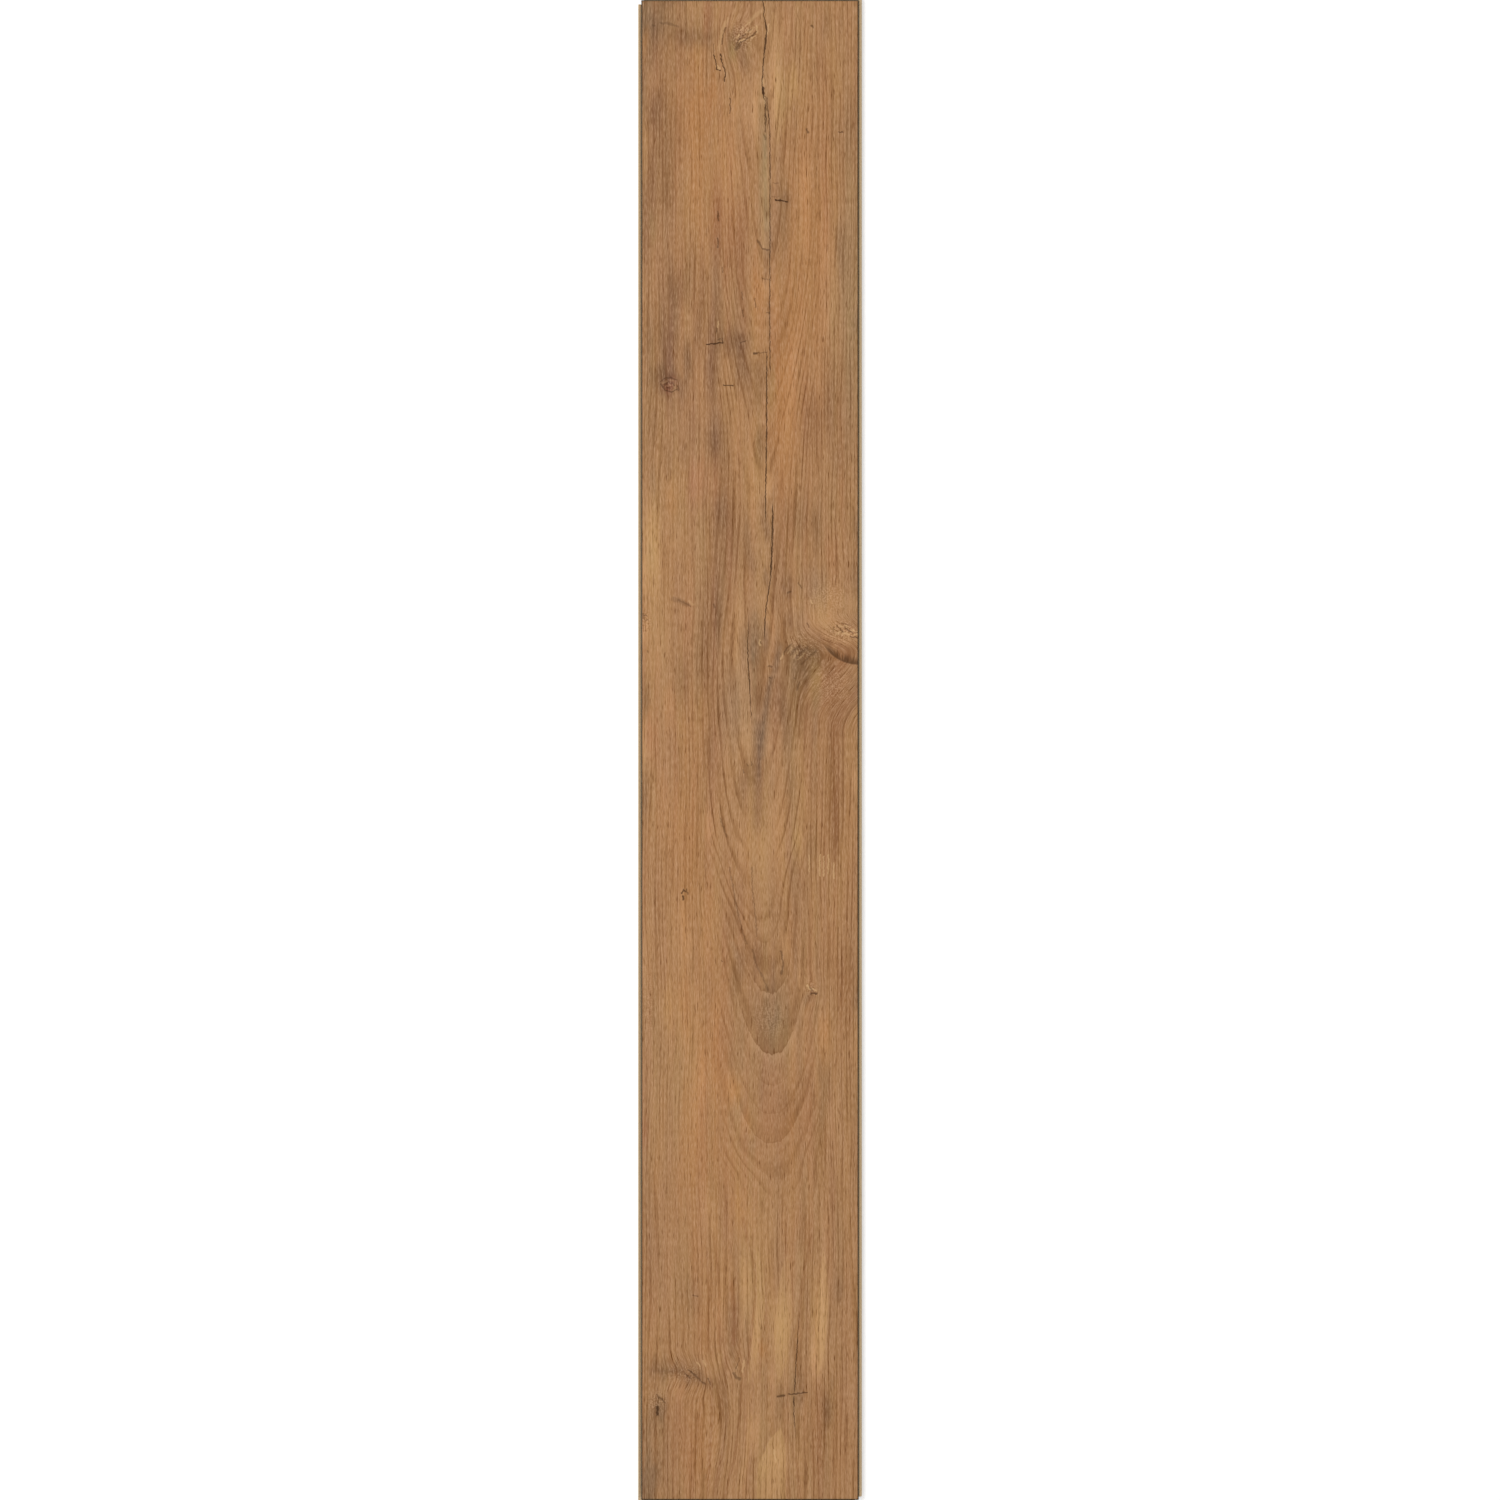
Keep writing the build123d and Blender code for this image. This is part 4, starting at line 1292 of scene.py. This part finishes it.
def makeFloor():
    mesh = bpy.data.meshes.new("floor")
    half, level = studio["floorHalf"], studio["floorLevel"]
    corners = [(-half, -half, level), (half, -half, level), (half, half, level), (-half, half, level)]
    mesh.from_pydata(corners, [], [(0, 1, 2, 3)])
    floor = bpy.data.objects.new("floor", mesh)
    bpy.context.scene.collection.objects.link(floor)
    material, tree, shader = newMaterial("whiteFloor")
    shader.inputs["Base Color"].default_value = studio["floorShade"]
    shader.inputs["Roughness"].default_value = 0.9
    shader.inputs["Specular IOR Level"].default_value = 0.0
    rays = newNode(tree, "ShaderNodeLightPath").outputs
    seen = calc(tree, "MAXIMUM", rays["Is Camera Ray"], rays["Is Glossy Ray"])
    seen = calc(tree, "MAXIMUM", seen, rays["Is Transmission Ray"])
    strength = calc(tree, "MULTIPLY", seen, studio["floorGlow"])
    glow = newNode(tree, "ShaderNodeEmission", {"Strength": strength})
    lit = newNode(tree, "ShaderNodeAddShader", {0: shader.outputs[0], 1: glow.outputs[0]})
    clear = newNode(tree, "ShaderNodeBsdfTransparent")
    back = newNode(tree, "ShaderNodeNewGeometry").outputs["Backfacing"]
    # the underside, just above the floor, is lit through it for a look from below
    under = calc(tree, "MAXIMUM", rays["Is Diffuse Ray"], rays["Is Shadow Ray"])
    under = calc(tree, "MULTIPLY", under, calc(tree, "LESS_THAN", rays["Ray Length"], studio["underReach"]))
    through = calc(tree, "MAXIMUM", back, under)
    both = newNode(tree, "ShaderNodeMixShader", {0: through, 1: lit.outputs[0], 2: clear.outputs[0]})
    tree.links.new(both.outputs[0], tree.nodes["Material Output"].inputs["Surface"])
    mesh.materials.append(material)


def makeLights():
    world = bpy.data.worlds.new("studio")
    world.use_nodes = True
    tree = world.node_tree
    rays = newNode(tree, "ShaderNodeLightPath").outputs
    strength = ramp(tree, rays["Is Camera Ray"], 0, 1, studio["worldStrength"], 1.0, "LINEAR")
    tree.links.new(strength, tree.nodes["Background"].inputs["Strength"])
    tree.nodes["Background"].inputs["Color"].default_value = (1, 1, 1, 1)
    bpy.context.scene.world = world
    lamp = bpy.data.lights.new("key", "AREA")
    lamp.shape = "RECTANGLE"
    lamp.size, lamp.size_y = studio["keySize"]
    lamp.energy = studio["keyPower"]
    key = bpy.data.objects.new("key", lamp)
    key.location = studio["keyPlace"]
    key.rotation_euler = [math.radians(angle) for angle in studio["keyTilt"]]
    bpy.context.scene.collection.objects.link(key)


def makeCamera():
    camera = bpy.data.objects.new("camera", bpy.data.cameras.new("camera"))
    camera.data.lens = studio["lens"]
    camera.data.sensor_width = studio["sensor"]
    height = studio["faceLength"] * studio["lens"] / studio["sensor"]
    camera.location = (0, 0, cadHigh.z + height)
    camera.data.clip_end = studio["clipEnd"]
    bpy.context.scene.collection.objects.link(camera)
    bpy.context.scene.camera = camera


makeFloor()
makeLights()
makeCamera()
bpy.context.scene.view_settings.view_transform = "Standard"
print("floor, light and camera set")
